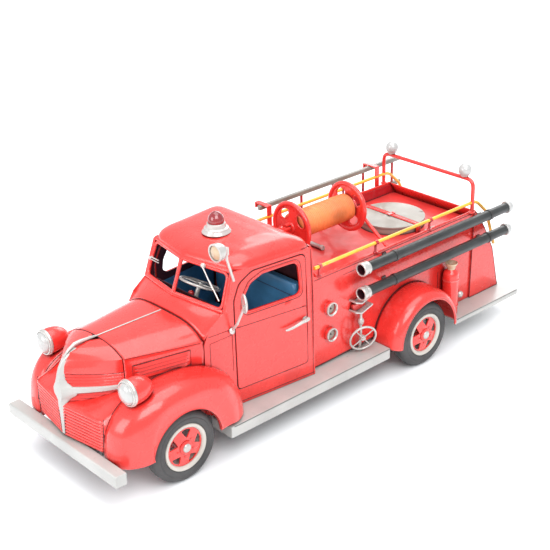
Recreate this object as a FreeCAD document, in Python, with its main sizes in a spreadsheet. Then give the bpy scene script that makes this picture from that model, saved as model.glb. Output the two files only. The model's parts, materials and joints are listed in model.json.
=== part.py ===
import FreeCAD, Part
import math
import os
import re

# Toy fire engine in folded and soldered tinplate, millimetres.
# +X points to the nose, +Y to the vehicle's left side, +Z up.
# The origin is on the ground, midway along, across and between the extremes.

V = FreeCAD.Vector
X_AXIS, Y_AXIS, Z_AXIS = V(1, 0, 0), V(0, 1, 0), V(0, 0, 1)

# Driving dimensions in millimetres, one spreadsheet row each.
DIMENSIONS = {
    "front_axle_x": 142.5, "rear_axle_x": -82.5, "wheel_radius": 25.4, "tyre_width": 13.0,
    "rim_radius": 16.8, "disc_radius": 13.9, "hub_radius": 5.0, "cap_radius": 3.2,
    "axle_radius": 1.5, "axle_play": 0.07, "front_face_y": 60.0, "rear_face_y": 67.0,
    "nose_x": 200.0, "tail_x": -200.0, "sheet": 1.0,
    "rail_inner_y": 16.0, "rail_width": 6.0, "rail_bottom": 20.0, "rail_top": 30.0,
    "bumper_half": 62.2, "bumper_bottom": 22.3, "bumper_height": 8.7, "bumper_depth": 9.0,
    "board_half": 62.2, "board_top": 25.5, "board_front_x": 106.5, "board_rear_x": -47.9,
    "board_inner_y": 40.0, "board_lip": 8.6,
    "step_top": 22.5, "step_lip": 4.5, "step_half": 63.5, "step_front_x": -121.3,
    "body_half": 45.0, "body_front_x": 16.6, "body_bottom": 26.6, "wall_top": 97.0,
    "deck_top": 88.0, "tail_seam_x": -159.0,
    "cab_rear_x": 17.5, "cab_rear_half": 50.3, "cowl_x": 109.5, "cowl_half": 41.3,
    "screen_foot_x": 91.5, "screen_head_x": 82.5, "screen_bow": 9.5,
    "cab_bottom": 25.7, "sill_z": 100.0, "drip_z": 124.0, "roof_top": 134.0,
    "hood_top": 92.4, "seam_x": 164.0, "apron_x": 195.3, "apron_bottom": 31.5,
    "apron_fold_z": 55.0, "catwalk_z": 66.8, "wing_z": 68.2, "apron_sweep": 0.155,
    "fender_inner": 38.0, "fender_outer": 62.8, "rear_fender_outer": 69.3,
    "rear_arch_x": -84.5, "rear_arch_radius": 36.5,
    "reel_x": -37.5, "reel_length": 57.0, "reel_z": 116.0, "flange_radius": 19.8,
    "drum_radius": 10.8, "reel_shaft_radius": 2.0,
    "tank_x": -115.5, "tank_radius": 26.5, "hose_y": 56.0, "hose_radius": 3.9,
    "hose_upper_z": 95.5, "hose_lower_z": 76.5, "rail_y": 46.0, "rail_z": 105.5,
    "hoop_x": -157.0, "hoop_half": 46.5, "hoop_top": 123.8, "lamp_radius": 5.2,
    "beacon_x": 61.0, "door_front_x": 84.0, "door_rear_x": 24.5, "door_bottom": 38.0,
    "door_top": 121.0, "belt_z": 85.0,
    "headlight_x": 175.0, "headlight_y": 46.8, "headlight_z": 74.3, "headlight_radius": 9.2,
}

doc = FreeCAD.newDocument("toy_fire_engine")
sheet = doc.addObject("Spreadsheet::Sheet", "dims")
for row, (alias, number) in enumerate(DIMENSIONS.items(), 1):
    sheet.set(f"A{row}", alias)
    sheet.set(f"B{row}", str(number))
    sheet.setAlias(f"B{row}", alias)
doc.recompute()

NODES = []


# ---------------------------------------------------------------- helpers

def dim(alias):
    """A driving dimension, read back from the sheet."""
    return float(sheet.get(alias))


def bound(text):
    """An expression on the sheet's aliases, such as 'wheel_radius / 2'."""
    return re.sub(r"[a-z_]+", lambda word: "dims." + word.group() if word.group() in DIMENSIONS
                  else word.group(), str(text))


def bind(obj, **expressions):
    for name, text in expressions.items():
        obj.setExpression(name, bound(text))
    return obj


def put(obj, x=0, y=0, z=0, axis=Z_AXIS, angle=0.0):
    """Turns an object about an axis and binds its position to the sheet."""
    obj.Placement = FreeCAD.Placement(V(0, 0, 0), FreeCAD.Rotation(axis, angle))
    for letter, text in zip("xyz", (x, y, z)):
        obj.setExpression("Placement.Base." + letter, bound(text))
    return obj


def box(length, width, height, x, y, z):
    obj = doc.addObject("Part::Box", "Box")
    bind(obj, Length=length, Width=width, Height=height)
    return put(obj, x, y, z)


TURNS = {"x": (Y_AXIS, 90.0), "y": (X_AXIS, -90.0), "z": (Z_AXIS, 0.0)}


def rod(radius, length, x, y, z, along="z"):
    """A cylinder that starts at the point and runs along a positive axis."""
    obj = doc.addObject("Part::Cylinder", "Cylinder")
    bind(obj, Radius=radius, Height=length)
    return put(obj, x, y, z, *TURNS[along])


def cone(radius_start, radius_end, length, x, y, z, along="z"):
    obj = doc.addObject("Part::Cone", "Cone")
    bind(obj, Radius1=radius_start, Radius2=radius_end, Height=length)
    return put(obj, x, y, z, *TURNS[along])


def ball(radius, x, y, z):
    obj = doc.addObject("Part::Sphere", "Sphere")
    bind(obj, Radius=radius)
    return put(obj, x, y, z)


def ring(major, minor, x, y, z, along="z"):
    obj = doc.addObject("Part::Torus", "Torus")
    bind(obj, Radius1=major, Radius2=minor)
    return put(obj, x, y, z, *TURNS[along])


def fuse(*shapes):
    obj = doc.addObject("Part::MultiFuse", "Fuse")
    obj.Shapes = list(shapes)
    return obj


def cut(base, *tools):
    obj = doc.addObject("Part::Cut", "Cut")
    obj.Base = base
    obj.Tool = tools[0] if len(tools) == 1 else fuse(*tools)
    return obj


def mirrored(source):
    """The same piece on the vehicle's other side."""
    obj = doc.addObject("Part::Mirroring", "Mirror")
    obj.Source = source
    obj.Normal = Y_AXIS
    return obj


def pair(source):
    return fuse(source, mirrored(source))


def shaped(shape):
    """A feature that holds a shape made with Part's own functions."""
    obj = doc.addObject("Part::Feature", "Shaped")
    obj.Shape = shape
    return obj


def node(label, obj):
    obj.Label = label
    NODES.append(obj)
    return obj


def cleared(obj, *labels, smallest=1.5):
    """A copy of an object cut back from named nodes. Loose slivers are dropped."""
    doc.recompute()
    shape = obj.Shape
    for item in NODES:
        if item.Label in labels:
            shape = shape.cut(item.Shape)
    return shaped(Part.makeCompound([solid for solid in shape.Solids if solid.Volume > smallest]))


def face(points):
    return Part.Face(Part.makePolygon(points + points[:1]))


def side_plate(outline, y_from, y_to):
    """A side view outline of (x, z) points, pushed through in Y."""
    return face([V(x, y_from, z) for x, z in outline]).extrude(V(0, y_to - y_from, 0))


def plan_block(outline, z_from, z_to):
    """A plan outline of (x, y) points, raised between two heights."""
    return face([V(x, y, z_from) for x, y in outline]).extrude(V(0, 0, z_to - z_from))


def loft(*sections):
    wires = [Part.makePolygon(points + points[:1]) for points in sections]
    return Part.makeLoft(wires, True, True)


def bent_rod(points, radius, bend):
    """A round rod along straight runs with an arc at each corner."""
    edges = []
    start = points[0]
    for before, corner, after in zip(points, points[1:], points[2:]):
        into = (corner - before).normalize()
        out = (after - corner).normalize()
        half_turn = into.getAngle(out) / 2
        reach = bend * math.tan(half_turn)
        first = corner - into * reach
        last = corner + out * reach
        middle_way = (out - into).normalize()
        centre = corner + middle_way * (bend / math.cos(half_turn))
        edges.append(Part.LineSegment(start, first).toShape())
        edges.append(Part.Arc(first, centre - middle_way * bend, last).toShape())
        start = last
    edges.append(Part.LineSegment(start, points[-1]).toShape())
    wire = Part.Wire(edges)
    direction = (points[1] - points[0]).normalize()
    profile = Part.Wire(Part.makeCircle(radius, points[0], direction))
    return wire.makePipeShell([profile], True, True)


def straight_rod(start, end, radius):
    return Part.makeCylinder(radius, (end - start).Length, start, end - start)


def turned(outline, centre, along):
    """A solid of revolution: outline of (distance along, radius) about an axis."""
    side = Z_AXIS if abs(along.z) < 0.9 else X_AXIS
    points = [centre + along * step + side * radius for step, radius in outline]
    return face(points).revolve(centre, along, 360)


def cab_half(x):
    """Half width of the cab at a station: it narrows towards the cowl."""
    share = (x - dim("cab_rear_x")) / (dim("cowl_x") - dim("cab_rear_x"))
    return dim("cab_rear_half") + share * (dim("cowl_half") - dim("cab_rear_half"))


# ---------------------------------------------------------------- wheels and axles

def wheel_set(place, x, face_y, side):
    """A tyre and its pressed wheel. side is 1 on the left, -1 on the right."""
    across = f"{face_y} - tyre_width"

    def on_side(obj):
        return obj if side > 0 else mirrored(obj)

    tread = rod("wheel_radius", "tyre_width + 1", x, across, "wheel_radius", "y")
    doc.recompute()
    rounded = doc.addObject("Part::Fillet", "Shoulders")
    rounded.Base = tread
    rims = [index for index, edge in enumerate(tread.Shape.Edges, 1) if edge.Closed]
    rounded.Edges = [(index, 4.0, 4.0) for index in rims]
    hole = rod("rim_radius", "tyre_width + 3", x, across + " - 1", "wheel_radius", "y")
    node(f"tyre_{place}", on_side(cut(rounded, hole)))

    barrel = rod("rim_radius", "tyre_width", x, across, "wheel_radius", "y")
    hollow = rod("rim_radius - 1", "tyre_width - 3", x, across + " - 1", "wheel_radius", "y")
    dish = rod("disc_radius", "2", x, f"{face_y} - 1", "wheel_radius", "y")
    hub = rod("hub_radius", "tyre_width - 1", x, across, "wheel_radius", "y")
    cap = cone("cap_radius", "cap_radius - 1", "2.6", x, f"{face_y} - 1.1", "wheel_radius", "y")
    bore = rod("axle_radius + axle_play", "tyre_width", x, across + " - 1", "wheel_radius", "y")
    windows = []
    for turn in range(5):
        angle = math.radians(98 + 72 * turn)
        spread = 0.26
        corners = [(12.8, angle - spread), (12.8, angle + spread), (7.6, angle)]
        centre_x = dim(x)
        centre_z = dim("wheel_radius")
        points = [(centre_x + r * math.cos(a), centre_z + r * math.sin(a)) for r, a in corners]
        windows.append(shaped(side_plate(points, dim(face_y) - 6, dim(face_y) + 2)))
    web = cut(barrel, hollow, dish, *windows)
    node(f"wheel_{place}", on_side(cut(fuse(web, hub, cap), bore)))


for end in ("front", "rear"):
    for side, name in ((1, "left"), (-1, "right")):
        wheel_set(f"{end}_{name}", f"{end}_axle_x", f"{end}_face_y", side)

node("axles", fuse(
    rod("axle_radius", "2 * front_face_y - 4", "front_axle_x", "2 - front_face_y",
        "wheel_radius", "y"),
    rod("axle_radius", "2 * rear_face_y - 4", "rear_axle_x", "2 - rear_face_y",
        "wheel_radius", "y")))


# ---------------------------------------------------------------- chassis

def chassis():
    rail = box("front_axle_x + 40 - tail_x - 6", "rail_width", "rail_top - rail_bottom",
               "tail_x + 6", "rail_inner_y", "rail_bottom")
    horn = box("nose_x - sheet - front_axle_x - 40", "rail_width", "6.2",
               "front_axle_x + 40", "rail_inner_y", "bumper_bottom + 1.2")
    pieces = [pair(rail), pair(horn)]
    for x in (-186.0, -112.0, -20.0, 60.0, 170.0):
        pieces.append(box("6", "2 * rail_inner_y", "6", x, "-rail_inner_y", "rail_bottom + 2"))
    for x in (-40.0, 30.0, 92.0):
        arm = box("5", "board_half - sheet - rail_inner_y - rail_width", "3", x,
                  "rail_inner_y + rail_width", "board_top - sheet - 3")
        pieces.append(pair(arm))
    body = fuse(*pieces)
    bores = [rod("axle_radius", "2 * body_half", end + "_axle_x", "-body_half", "wheel_radius", "y")
             for end in ("front", "rear")]
    return cut(body, *bores)


# The step's plate lies over the rails' tail, so the rails are relieved under it.
step_relief = box("step_front_x - tail_x + 4", "2 * body_half", "20", "tail_x - 2", "-body_half",
                  "step_top - sheet")
node("chassis_frame", cut(chassis(), step_relief))

bumper = cut(
    box("bumper_depth", "2 * bumper_half", "bumper_height", "nose_x - bumper_depth",
        "-bumper_half", "bumper_bottom"),
    box("bumper_depth", "2 * bumper_half - 2 * sheet", "bumper_height - 2 * sheet",
        "nose_x - bumper_depth - sheet", "sheet - bumper_half", "bumper_bottom + sheet"))
node("front_bumper", bumper)

board = cut(
    box("board_front_x - board_rear_x", "board_half - board_inner_y", "board_lip",
        "board_rear_x", "board_inner_y", "board_top - board_lip"),
    box("board_front_x - board_rear_x + 2", "board_half - board_inner_y", "board_lip",
        "board_rear_x - 1", "board_inner_y - sheet", "board_top - board_lip - sheet"))
node("running_boards", pair(board))

step = cut(
    box("step_front_x - tail_x", "2 * step_half", "step_lip", "tail_x", "-step_half",
        "step_top - step_lip"),
    box("step_front_x - tail_x", "2 * step_half - 2 * sheet", "step_lip", "tail_x + sheet",
        "sheet - step_half", "step_top - step_lip - sheet"))
node("rear_step", step)


# ---------------------------------------------------------------- front end

def front_fender():
    """A full rounded fender with a wheel arch, folded from sheet and open beneath."""
    x, inner, outer = dim("front_axle_x"), dim("fender_inner"), dim("fender_outer")
    skirt, soft, sheet_gap = 26.4, 9.0, dim("sheet")
    side = [(-58, skirt), (-56, 42), (-49, 54), (-34, 65), (-14, 70.5), (10, 70.5), (28, 66),
            (41, 57), (47.2, 45), (48.2, skirt)]
    curve = Part.BSplineCurve()
    curve.interpolate([V(x + dx, 0, z) for dx, z in side])
    crown = curve.toShape().discretize(Number=26)
    middle = V(x - 5, 0, 40)

    def section(y, drop, gap):
        """Side outline at a distance across, drawn in towards the outer side."""
        share = max(0.0, (y - 44) / (outer - 44))
        back, front = x - 58 + 20 * share ** 2 + gap, x + 48.2 - 17 * share ** 2.5 - gap
        points = []
        for point in crown:
            moved = point + (middle - point).normalize() * drop
            points.append(V(min(max(moved.x, back), front), y, moved.z))
        points[0].z = points[-1].z = skirt - 2 * gap
        return points

    def skin(gap):
        start = inner - 2 * gap
        sections = [section(start, gap, gap), section(46, gap, gap)]
        for angle in (0, 25, 47, 67, 84):
            turn = math.radians(angle)
            reach = soft - gap
            y = outer - soft + reach * math.sin(turn)
            sections.append(section(y, gap + reach * (1 - math.cos(turn)), gap))
        return loft(*sections)

    axle_z = dim("wheel_radius")
    arch = Part.makeCylinder(28.0, 20, V(x, outer - 8, axle_z), Y_AXIS)
    below = Part.makeBox(56, 20, 30, V(x - 28, outer - 8, axle_z - 30))
    return skin(0.0).cut(skin(sheet_gap)).cut(arch).cut(below)


node("front_fender_left", shaped(front_fender()))
node("front_fender_right", mirrored(NODES[-1]))


def hood_section(x, half, crease, low, raised=0.0):
    """Half-round hood section at a station: crown, crease and upright side."""
    top = dim("hood_top") - raised
    points = [V(x, -half, low), V(x, -half, crease - 3)]
    for share in (-0.92, -0.75, -0.5, -0.25, 0, 0.25, 0.5, 0.75, 0.92):
        points.append(V(x, half * share, top - (top - crease) * abs(share) ** 2.4))
    points += [V(x, half, crease - 3), V(x, half, low)]
    return points


def hood():
    front, rear, low = dim("seam_x"), dim("cowl_x"), dim("catwalk_z")
    outside = loft(hood_section(front, 27.5, 86.5, low), hood_section(rear, 40.0, 82.0, low))
    inside = loft(hood_section(front + 1, 26.5, 85.5, low - 4, 1.2),
                  hood_section(rear - 1, 39.0, 81.0, low - 4, 1.2))
    shell = outside.cut(inside)
    slots = []
    for level in range(4):
        for side in (-1, 1):
            start = V(157, side * 29.1, 71 + level * 2.4)
            end = V(121, side * 37.4, 70 + level * 2.4)
            slots.append(straight_rod(start, end, 0.5))
    for slot in slots:
        shell = shell.fuse(slot)
    return shell.removeSplitter()


node("hood", cleared(shaped(hood()), "front_fender_left", "front_fender_right"))


def apron_outline():
    """Side view of the apron's outer surface, from its lower edge back to the cowl."""
    front, fold, top = dim("apron_x"), dim("apron_fold_z"), dim("catwalk_z")
    return [(front, dim("apron_bottom")), (front, fold), (front - 4.3, fold + 1.8),
            (front - 17, fold + 6.4), (front - 32, top), (dim("cowl_x") - 3, top)]


def swept(outline, half):
    """A side view outline pushed out to both sides, its front swept back in a shallow V."""
    limit = dim("apron_x") - 30
    sweep = dim("apron_sweep") * half
    blocks = []
    for side in (-1, 1):
        middle = [V(x, 0, z) for x, z in outline]
        outer = [V(x - (sweep if x > limit else 0), side * half, z) for x, z in outline]
        blocks.append(loft(middle, outer))
    return blocks[0].fuse(blocks[1])


def nose_cap():
    """The rounded V nose: sections shrink and drop towards the tip."""
    stations = [(0, 27.5, 86.5, 0.0), (9, 22.5, 85.5, 0.2), (17, 16.2, 83, 1.4),
                (24, 9.8, 79, 4.8), (29, 4.8, 74, 10.5), (31.6, 2.0, 69.5, 18.0)]
    start = dim("seam_x")
    low = dim("apron_fold_z") + 1

    def sections(inset):
        out = []
        for dx, half, crease, drop in stations:
            x = start + dx + (0.6 if dx == 0 else 0) - (inset if dx else inset * 1.8)
            points = hood_section(x, max(half - inset, 1.2), crease - inset, low - inset,
                                  drop + inset)
            out.append(points)
        return out

    outside = Part.makeLoft([Part.makePolygon(s + s[:1]) for s in sections(0.0)], True, False)
    inside = Part.makeLoft([Part.makePolygon(s + s[:1]) for s in sections(1.0)], True, False)
    under = swept(apron_outline() + [(dim("cowl_x") - 3, 20), (dim("apron_x"), 20)], 60)
    return outside.cut(inside).cut(under)


node("nose_cap", shaped(nose_cap()))


def grille_apron():
    """The front panel between the fenders: bars below, a smooth slope and catwalk above."""
    front, low, t = dim("apron_x"), dim("apron_bottom"), dim("sheet")
    half = dim("fender_inner") - 0.2
    outer = apron_outline()
    inner = [(x - (t if x > front - 20 else 0), z - (t if z > low else 0))
             for x, z in reversed(outer)]
    panel = swept(outer + inner, half)
    sweep, reach = dim("apron_sweep"), half - 1.5
    for level in range(9):
        z = low + 2.6 + level * 2.55
        for side in (-1, 1):
            start = V(front - 2.5 * sweep, side * 2.5, z)
            end = V(front - reach * sweep, side * reach, z)
            panel = panel.fuse(straight_rod(start, end, 0.7))
    return panel


node("grille_apron", shaped(grille_apron()))


def nose_trim():
    """A bright spear down the nose, with a wing swept back on each side."""
    front = dim("apron_x")
    trim = side_plate([(front - 0.3, 33), (front + 1.7, 33), (front + 2.1, 70), (front - 1, 70)],
                      -2.2, 2.2)
    level = dim("wing_z")
    stations = [(32.6, 0.0), (29.6, 4.9), (24.4, 10.2), (17.2, 16.8), (9.2, 23.0), (1.0, 28.2)]
    for side in (-1, 1):
        sections = []
        for number, (dx, half) in enumerate(stations):
            x, y, w = dim("seam_x") + dx, half, 1.9 - 0.18 * number
            corners = [V(x, side * (y + 0.1), level - w), V(x + 0.5, side * (y + 1.0), level - w),
                       V(x + 0.5, side * (y + 1.0), level + w), V(x, side * (y + 0.1), level + w)]
            sections.append(corners)
        trim = trim.fuse(loft(*sections))
    return trim


node("nose_trim", cleared(shaped(nose_trim()), "nose_cap", "grille_apron"))

hood_bead = fuse(
    box("seam_x - cowl_x - 1", "2.4", "1.5", "cowl_x + 1", "-1.2", "hood_top - 0.6"),
    box("16", "3.4", "3.4", "seam_x", "-1.7", "hood_top - 1.1"))
node("hood_strip", cleared(hood_bead, "hood", "nose_cap"))


HEADLIGHT = V(dim("headlight_x"), dim("headlight_y"), dim("headlight_z"))
shell_profile = [(-18, 0), (-17.2, 3.0), (-14, 5.8), (-8, 8.0), (-1, 8.7), (-1, 0)]
rim_profile = [(-1, 0), (-1, 9.2), (1.6, 9.0), (1.6, 7.6), (0, 7.6), (0, 0)]
lens_profile = [(0, 0), (0, 7.6), (1.6, 7.6), (3.2, 6.2), (4.4, 3.6), (4.9, 0)]
pedestal = Part.makeCylinder(2.2, 9.0, HEADLIGHT - V(8, 0, 12), Z_AXIS)
pod = shaped(turned(shell_profile, HEADLIGHT, X_AXIS).fuse(pedestal))
node("headlight_shells", pair(cleared(pod, "front_fender_left")))
node("headlight_rims", pair(shaped(turned(rim_profile, HEADLIGHT, X_AXIS))))
node("headlight_lenses", pair(shaped(turned(lens_profile, HEADLIGHT, X_AXIS))))


# ---------------------------------------------------------------- cab

def cab_plan(x_rear, x_front, inset, z, bow=4):
    """The cab's plan outline at a height. Its front bows out to the centre line."""
    rear = cab_half(x_rear) - inset
    front = cab_half(x_front) - inset
    return [V(x_rear, -rear, z), V(x_front, -front, z), V(x_front + bow - inset, 0, z),
            V(x_front, front, z), V(x_rear, rear, z)]


def door_outline(gap=0.0):
    """Side view of a door, or with a gap, of the aperture it shuts into."""
    front, rear = dim("door_front_x") + gap, dim("door_rear_x") - gap
    low, top = dim("door_bottom") - gap, dim("door_top") + gap
    return [(rear, low), (front, low), (front, 106), (front - 7, 117), (front - 14, top),
            (rear, top)]


def cab_shell():
    rear, low = dim("cab_rear_x"), dim("cab_bottom")
    sill, drip, t = dim("sill_z"), dim("drip_z"), dim("sheet")
    cowl = dim("cowl_x") - 3
    lower_out = loft(cab_plan(rear, cowl, 0, low), cab_plan(rear, cowl, 0, 90))
    lower_in = loft(cab_plan(rear + t, cowl - t, t, low - 1), cab_plan(rear + t, cowl - t, t, 90))
    foot, head, bow, lean = dim("screen_foot_x"), dim("screen_head_x"), dim("screen_bow"), 1.6
    scuttle_out = loft(cab_plan(rear, cowl, 0, 90), cab_plan(rear, foot, 0, sill, bow))
    scuttle_in = loft(cab_plan(rear + t, cowl - t, t, 90),
                      cab_plan(rear + t, foot - t, t, sill, bow))
    upper_out = loft(cab_plan(rear, foot, 0, sill, bow), cab_plan(rear + 1, head, lean, drip, bow))
    upper_in = loft(cab_plan(rear + t, foot - t, t, sill, bow),
                    cab_plan(rear + 1 + t, head - t, lean + t, drip, bow))
    shell = lower_out.fuse([scuttle_out, upper_out]).cut(lower_in.fuse([scuttle_in, upper_in]))
    # Door apertures on both sides, and the open windscreen at the front.
    aperture = side_plate(door_outline(0.6), -60, 60)
    screen = Part.makeBox(26, 2 * 39.0, 22.6, V(77.0, -39.0, sill + 0.9))
    return shell.cut(aperture).cut(screen)


node("cab_shell", cleared(shaped(cab_shell()), "chassis_frame", "front_fender_left",
                          "front_fender_right", "grille_apron", "hood", smallest=20))


def cab_roof():
    """A flat-topped roof with generous rounding all round."""
    rear, drip, top, t = dim("cab_rear_x"), dim("drip_z"), dim("roof_top"), dim("sheet")

    def cap(inset, height, radius):
        plan = cab_plan(rear + 1 + inset, dim("screen_head_x") - inset, 1.2 + inset, drip,
                        dim("screen_bow"))
        solid = loft(plan, [V(p.x, p.y, drip + height) for p in plan])
        edges = [edge for edge in solid.Edges if edge.CenterOfMass.z > drip + height - 0.1]
        return solid.makeFillet(radius, edges)

    return cap(0, top - drip, 8.8).cut(cap(t, top - drip - t, 7.8))


node("cab_roof", shaped(cab_roof()))


def windshield_frame():
    """Two framed panes in a shallow V, with a post between them. Both are open."""
    frame = None
    sill, drip = dim("sill_z"), dim("drip_z")
    for side in (-1, 1):
        low_mid, low_end = V(101.3, 0, sill + 1), V(92.4, side * 38.8, sill + 1)
        top_mid, top_end = V(92.8, 0, drip - 0.8), V(84.2, side * 37.6, drip - 0.8)
        ring_points = [low_mid, low_end, top_end, top_mid]
        for start, end in zip(ring_points, ring_points[1:] + ring_points[:1]):
            bar = straight_rod(start, end, 1.2)
            knob = Part.makeSphere(1.2, end)
            bar = bar.fuse(knob)
            frame = bar if frame is None else frame.fuse(bar)
    sill_box = Part.makeBox(60, 100, 40, V(60, -50, drip - 0.02))
    return frame.cut(sill_box)


node("windshield_frame", cleared(shaped(windshield_frame()), "cab_shell", "hood"))


def cab_floor():
    """Floor, toe board and dashboard, one folded panel inside the shell."""
    t = dim("sheet")
    x0, x1 = dim("cab_rear_x") + t + 0.3, 98.0
    inset = t + 0.3

    def plan(xa, xb, z):
        return [V(xa, -(cab_half(xa) - inset), z), V(xb, -(cab_half(xb) - inset), z),
                V(xb, cab_half(xb) - inset, z), V(xa, cab_half(xa) - inset, z)]

    floor = loft(plan(x0, x1, 30.6), plan(x0, x1, 31.6))
    toe = loft(plan(x1 - t, x1, 31.6), plan(x1 - t, x1, 93))
    dash = loft(plan(88, 89, 84), plan(88, 89, 97))
    shelf = loft(plan(88, 98, 92), plan(88, 98, 93))
    return floor.fuse([toe, dash, shelf])


node("cab_floor", cleared(shaped(cab_floor()), "front_fender_left", "front_fender_right",
                          "grille_apron", "chassis_frame", smallest=20))



def seat():
    """A bench folded from one strip: front, cushion, backrest and the back's rear face."""
    rear, low, half, t = dim("cab_rear_x") + 2, 31.6, 44.0, dim("sheet")
    front, cushion, shoulder, top = rear + 36, low + 24, rear + 9, low + 64
    outside = [(rear, low), (rear, top), (shoulder, top), (shoulder, cushion), (front, cushion),
               (front, low)]
    inside = [(front - t, low), (front - t, cushion - t), (shoulder - t, cushion - t),
              (shoulder - t, top - t), (rear + t, top - t), (rear + t, low)]
    return side_plate(outside + inside, -half, half)


node("seat", shaped(seat()))

# Steering: the column leans back, and the wheel sits square on its end.
WHEEL_CENTRE = V(80.0, 3.0, 102.0)
COLUMN = V(-0.45, 0, 0.893).normalize()
column_top = WHEEL_CENTRE - COLUMN * 2.4
column = straight_rod(WHEEL_CENTRE - COLUMN * 34, column_top, 1.6)
spigot = straight_rod(column_top - COLUMN, WHEEL_CENTRE + COLUMN * 1.0, 0.8)
node("steering_column", cleared(shaped(column.fuse(spigot)), "cab_floor"))


def spoked_ring(centre, normal, radius, rim, hub_radius, bore, spokes, thickness):
    """A rim on straight spokes round a bored hub."""
    wheel = Part.makeTorus(radius, rim, centre, normal)
    hub = Part.makeCylinder(hub_radius, thickness, centre - normal * (thickness / 2), normal)
    across = normal.cross(Y_AXIS if abs(normal.y) < 0.8 else X_AXIS).normalize()
    wheel = wheel.fuse(hub)
    for count in range(spokes):
        turn = FreeCAD.Rotation(normal, 360.0 * count / spokes)
        out = turn.multVec(across)
        wheel = wheel.fuse(straight_rod(centre + out * (hub_radius - 0.5), centre + out * radius, 0.6))
    return wheel.cut(Part.makeCylinder(bore, thickness + 4, centre - normal * (thickness / 2 + 2),
                                       normal))


node("steering_wheel", shaped(spoked_ring(WHEEL_CENTRE, COLUMN, 14.0, 0.9, 2.4, 0.87, 4, 3.0)))

node("gear_lever", fuse(
    rod("0.9", "60", "82", "-5", "31.6"), ball("2.0", "82", "-5", "93")))


def door():
    """A flush door skin with an open window, a raised handle and its hinge barrels."""
    t = 1.6
    rear, front = dim("door_rear_x"), dim("door_front_x")
    plan = [(rear - 2, cab_half(rear - 2) + 0.5), (front + 2, cab_half(front + 2) + 0.5),
            (front + 2, cab_half(front + 2) + 0.5 - t), (rear - 2, cab_half(rear - 2) + 0.5 - t)]
    skin = plan_block(plan, 30, 130).common(side_plate(door_outline(), 30, 60))
    window = [(29.5, 92.5), (72, 93.5), (76, 97), (75, 105), (67, 114.5), (60, 116.8),
              (31.5, 116.8), (29.5, 114)]
    skin = skin.cut(side_plate(window, 30, 60))
    y_handle = cab_half(33) + 0.5
    grip = bent_rod([V(26.5, y_handle - 0.6, 71.5), V(26.5, y_handle + 3.0, 71.5),
                     V(45, y_handle + 2.2, 73.5)], 1.3, 1.6)
    return skin.fuse(grip)


left_door = node("door_left", shaped(door()))
node("door_right", mirrored(left_door))


def wipers():
    """The left wiper hangs from a button over its pane. The right one is parked level."""
    pivot, tip = V(89.6, 19.5, 124.2), V(92.8, 39.0, 106.0)
    along = (tip - pivot).normalize()
    solid = Part.makeSphere(1.8, pivot)
    solid = solid.fuse([straight_rod(pivot, pivot + along * 13, 0.7),
                        straight_rod(pivot + along * 9, tip, 0.9)])
    button, inner, outer = V(89.4, -38.4, 111.4), V(93.0, -25.0, 114.0), V(88.4, -43.0, 109.6)
    parked = Part.makeSphere(1.5, button)
    for drop in (V(0, 0, 0.8), V(0, 0, -1.0)):
        parked = parked.fuse([straight_rod(button + drop, inner + drop, 0.6),
                              straight_rod(button + drop, outer + drop, 0.6)])
    return Part.makeCompound([solid, parked])


node("wipers", cleared(shaped(wipers()), "windshield_frame", "cab_roof", "cab_shell"))

node("beacon_base", fuse(
    cone("10.2", "8.4", "3.4", "beacon_x", "0", "roof_top"),
    cone("8.0", "6.2", "3.6", "beacon_x", "0", "roof_top + 3.3")))
node("beacon_lens", shaped(turned(
    [(0, 0), (0, 5.6), (3.2, 5.4), (5.8, 4.2), (7.6, 2.2), (8.1, 0)],
    V(dim("beacon_x"), 0, dim("roof_top") + 6.9), Z_AXIS)))

SPOT_CENTRE = V(95.0, 43.2, 143.0)
spot_body = turned([(-5.5, 0), (-5.2, 2.6), (-3.0, 5.0), (0, 6.2), (3.4, 6.4), (3.4, 5.2), (2.2, 5.0),
                    (2.2, 0)], SPOT_CENTRE, X_AXIS)
spot_socket = Part.makeCylinder(1.7, 5, SPOT_CENTRE + V(-6.6, 0, -4.0), Z_AXIS)
spot_yoke = straight_rod(SPOT_CENTRE + V(-6.6, 0, 0), SPOT_CENTRE + V(-2, 0, 0), 1.2)
spot_bore = Part.makeCylinder(0.97, 3.2, SPOT_CENTRE + V(-6.6, 0, -4.2), Z_AXIS)
node("spotlight", shaped(spot_body.fuse([spot_socket, spot_yoke]).cut(spot_bore)))

spot_foot = V(84.0, 43.6, 120.0)
spot_elbow = SPOT_CENTRE + V(-6.6, 0, -8.0)
spot_pin = SPOT_CENTRE + V(-6.6, 0, -1.2)
mast = straight_rod(spot_foot, spot_elbow, 0.9).fuse(
    [Part.makeSphere(0.9, spot_elbow), straight_rod(spot_elbow, spot_pin, 0.9)])
mirror_foot = V(85.4, 43.6, 84.0)
mirror_arm = bent_rod([mirror_foot, V(85.6, 50.5, 92), V(86.2, 56.0, 108)], 0.9, 3.0)
mirror_glass = turned([(-0.9, 0), (-0.9, 6.4), (0.3, 7.0), (1.2, 6.4), (1.2, 0)],
                      V(86.2, 56.6, 108), V(0.94, -0.34, 0))
fittings = shaped(Part.makeCompound([mast, mirror_arm.fuse(mirror_glass)]))
node("mirror_and_mast", cleared(fittings, "cab_shell", "cab_roof", "windshield_frame", smallest=3))


# ---------------------------------------------------------------- body

def tail_outline(inset=0.0):
    """The side view of the body: a wheel arch below, a sloping tail behind."""
    front, low, top = dim("body_front_x"), dim("body_bottom"), dim("wall_top")
    foot = dim("step_top")
    return [(front - inset, low), (front - inset, top), (-163 + inset, top),
            (-174.5 + inset, 79.7), (-186 + inset, 58.7), (-195.5 + inset, foot), (-120, foot),
            (-120, low)]


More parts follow.
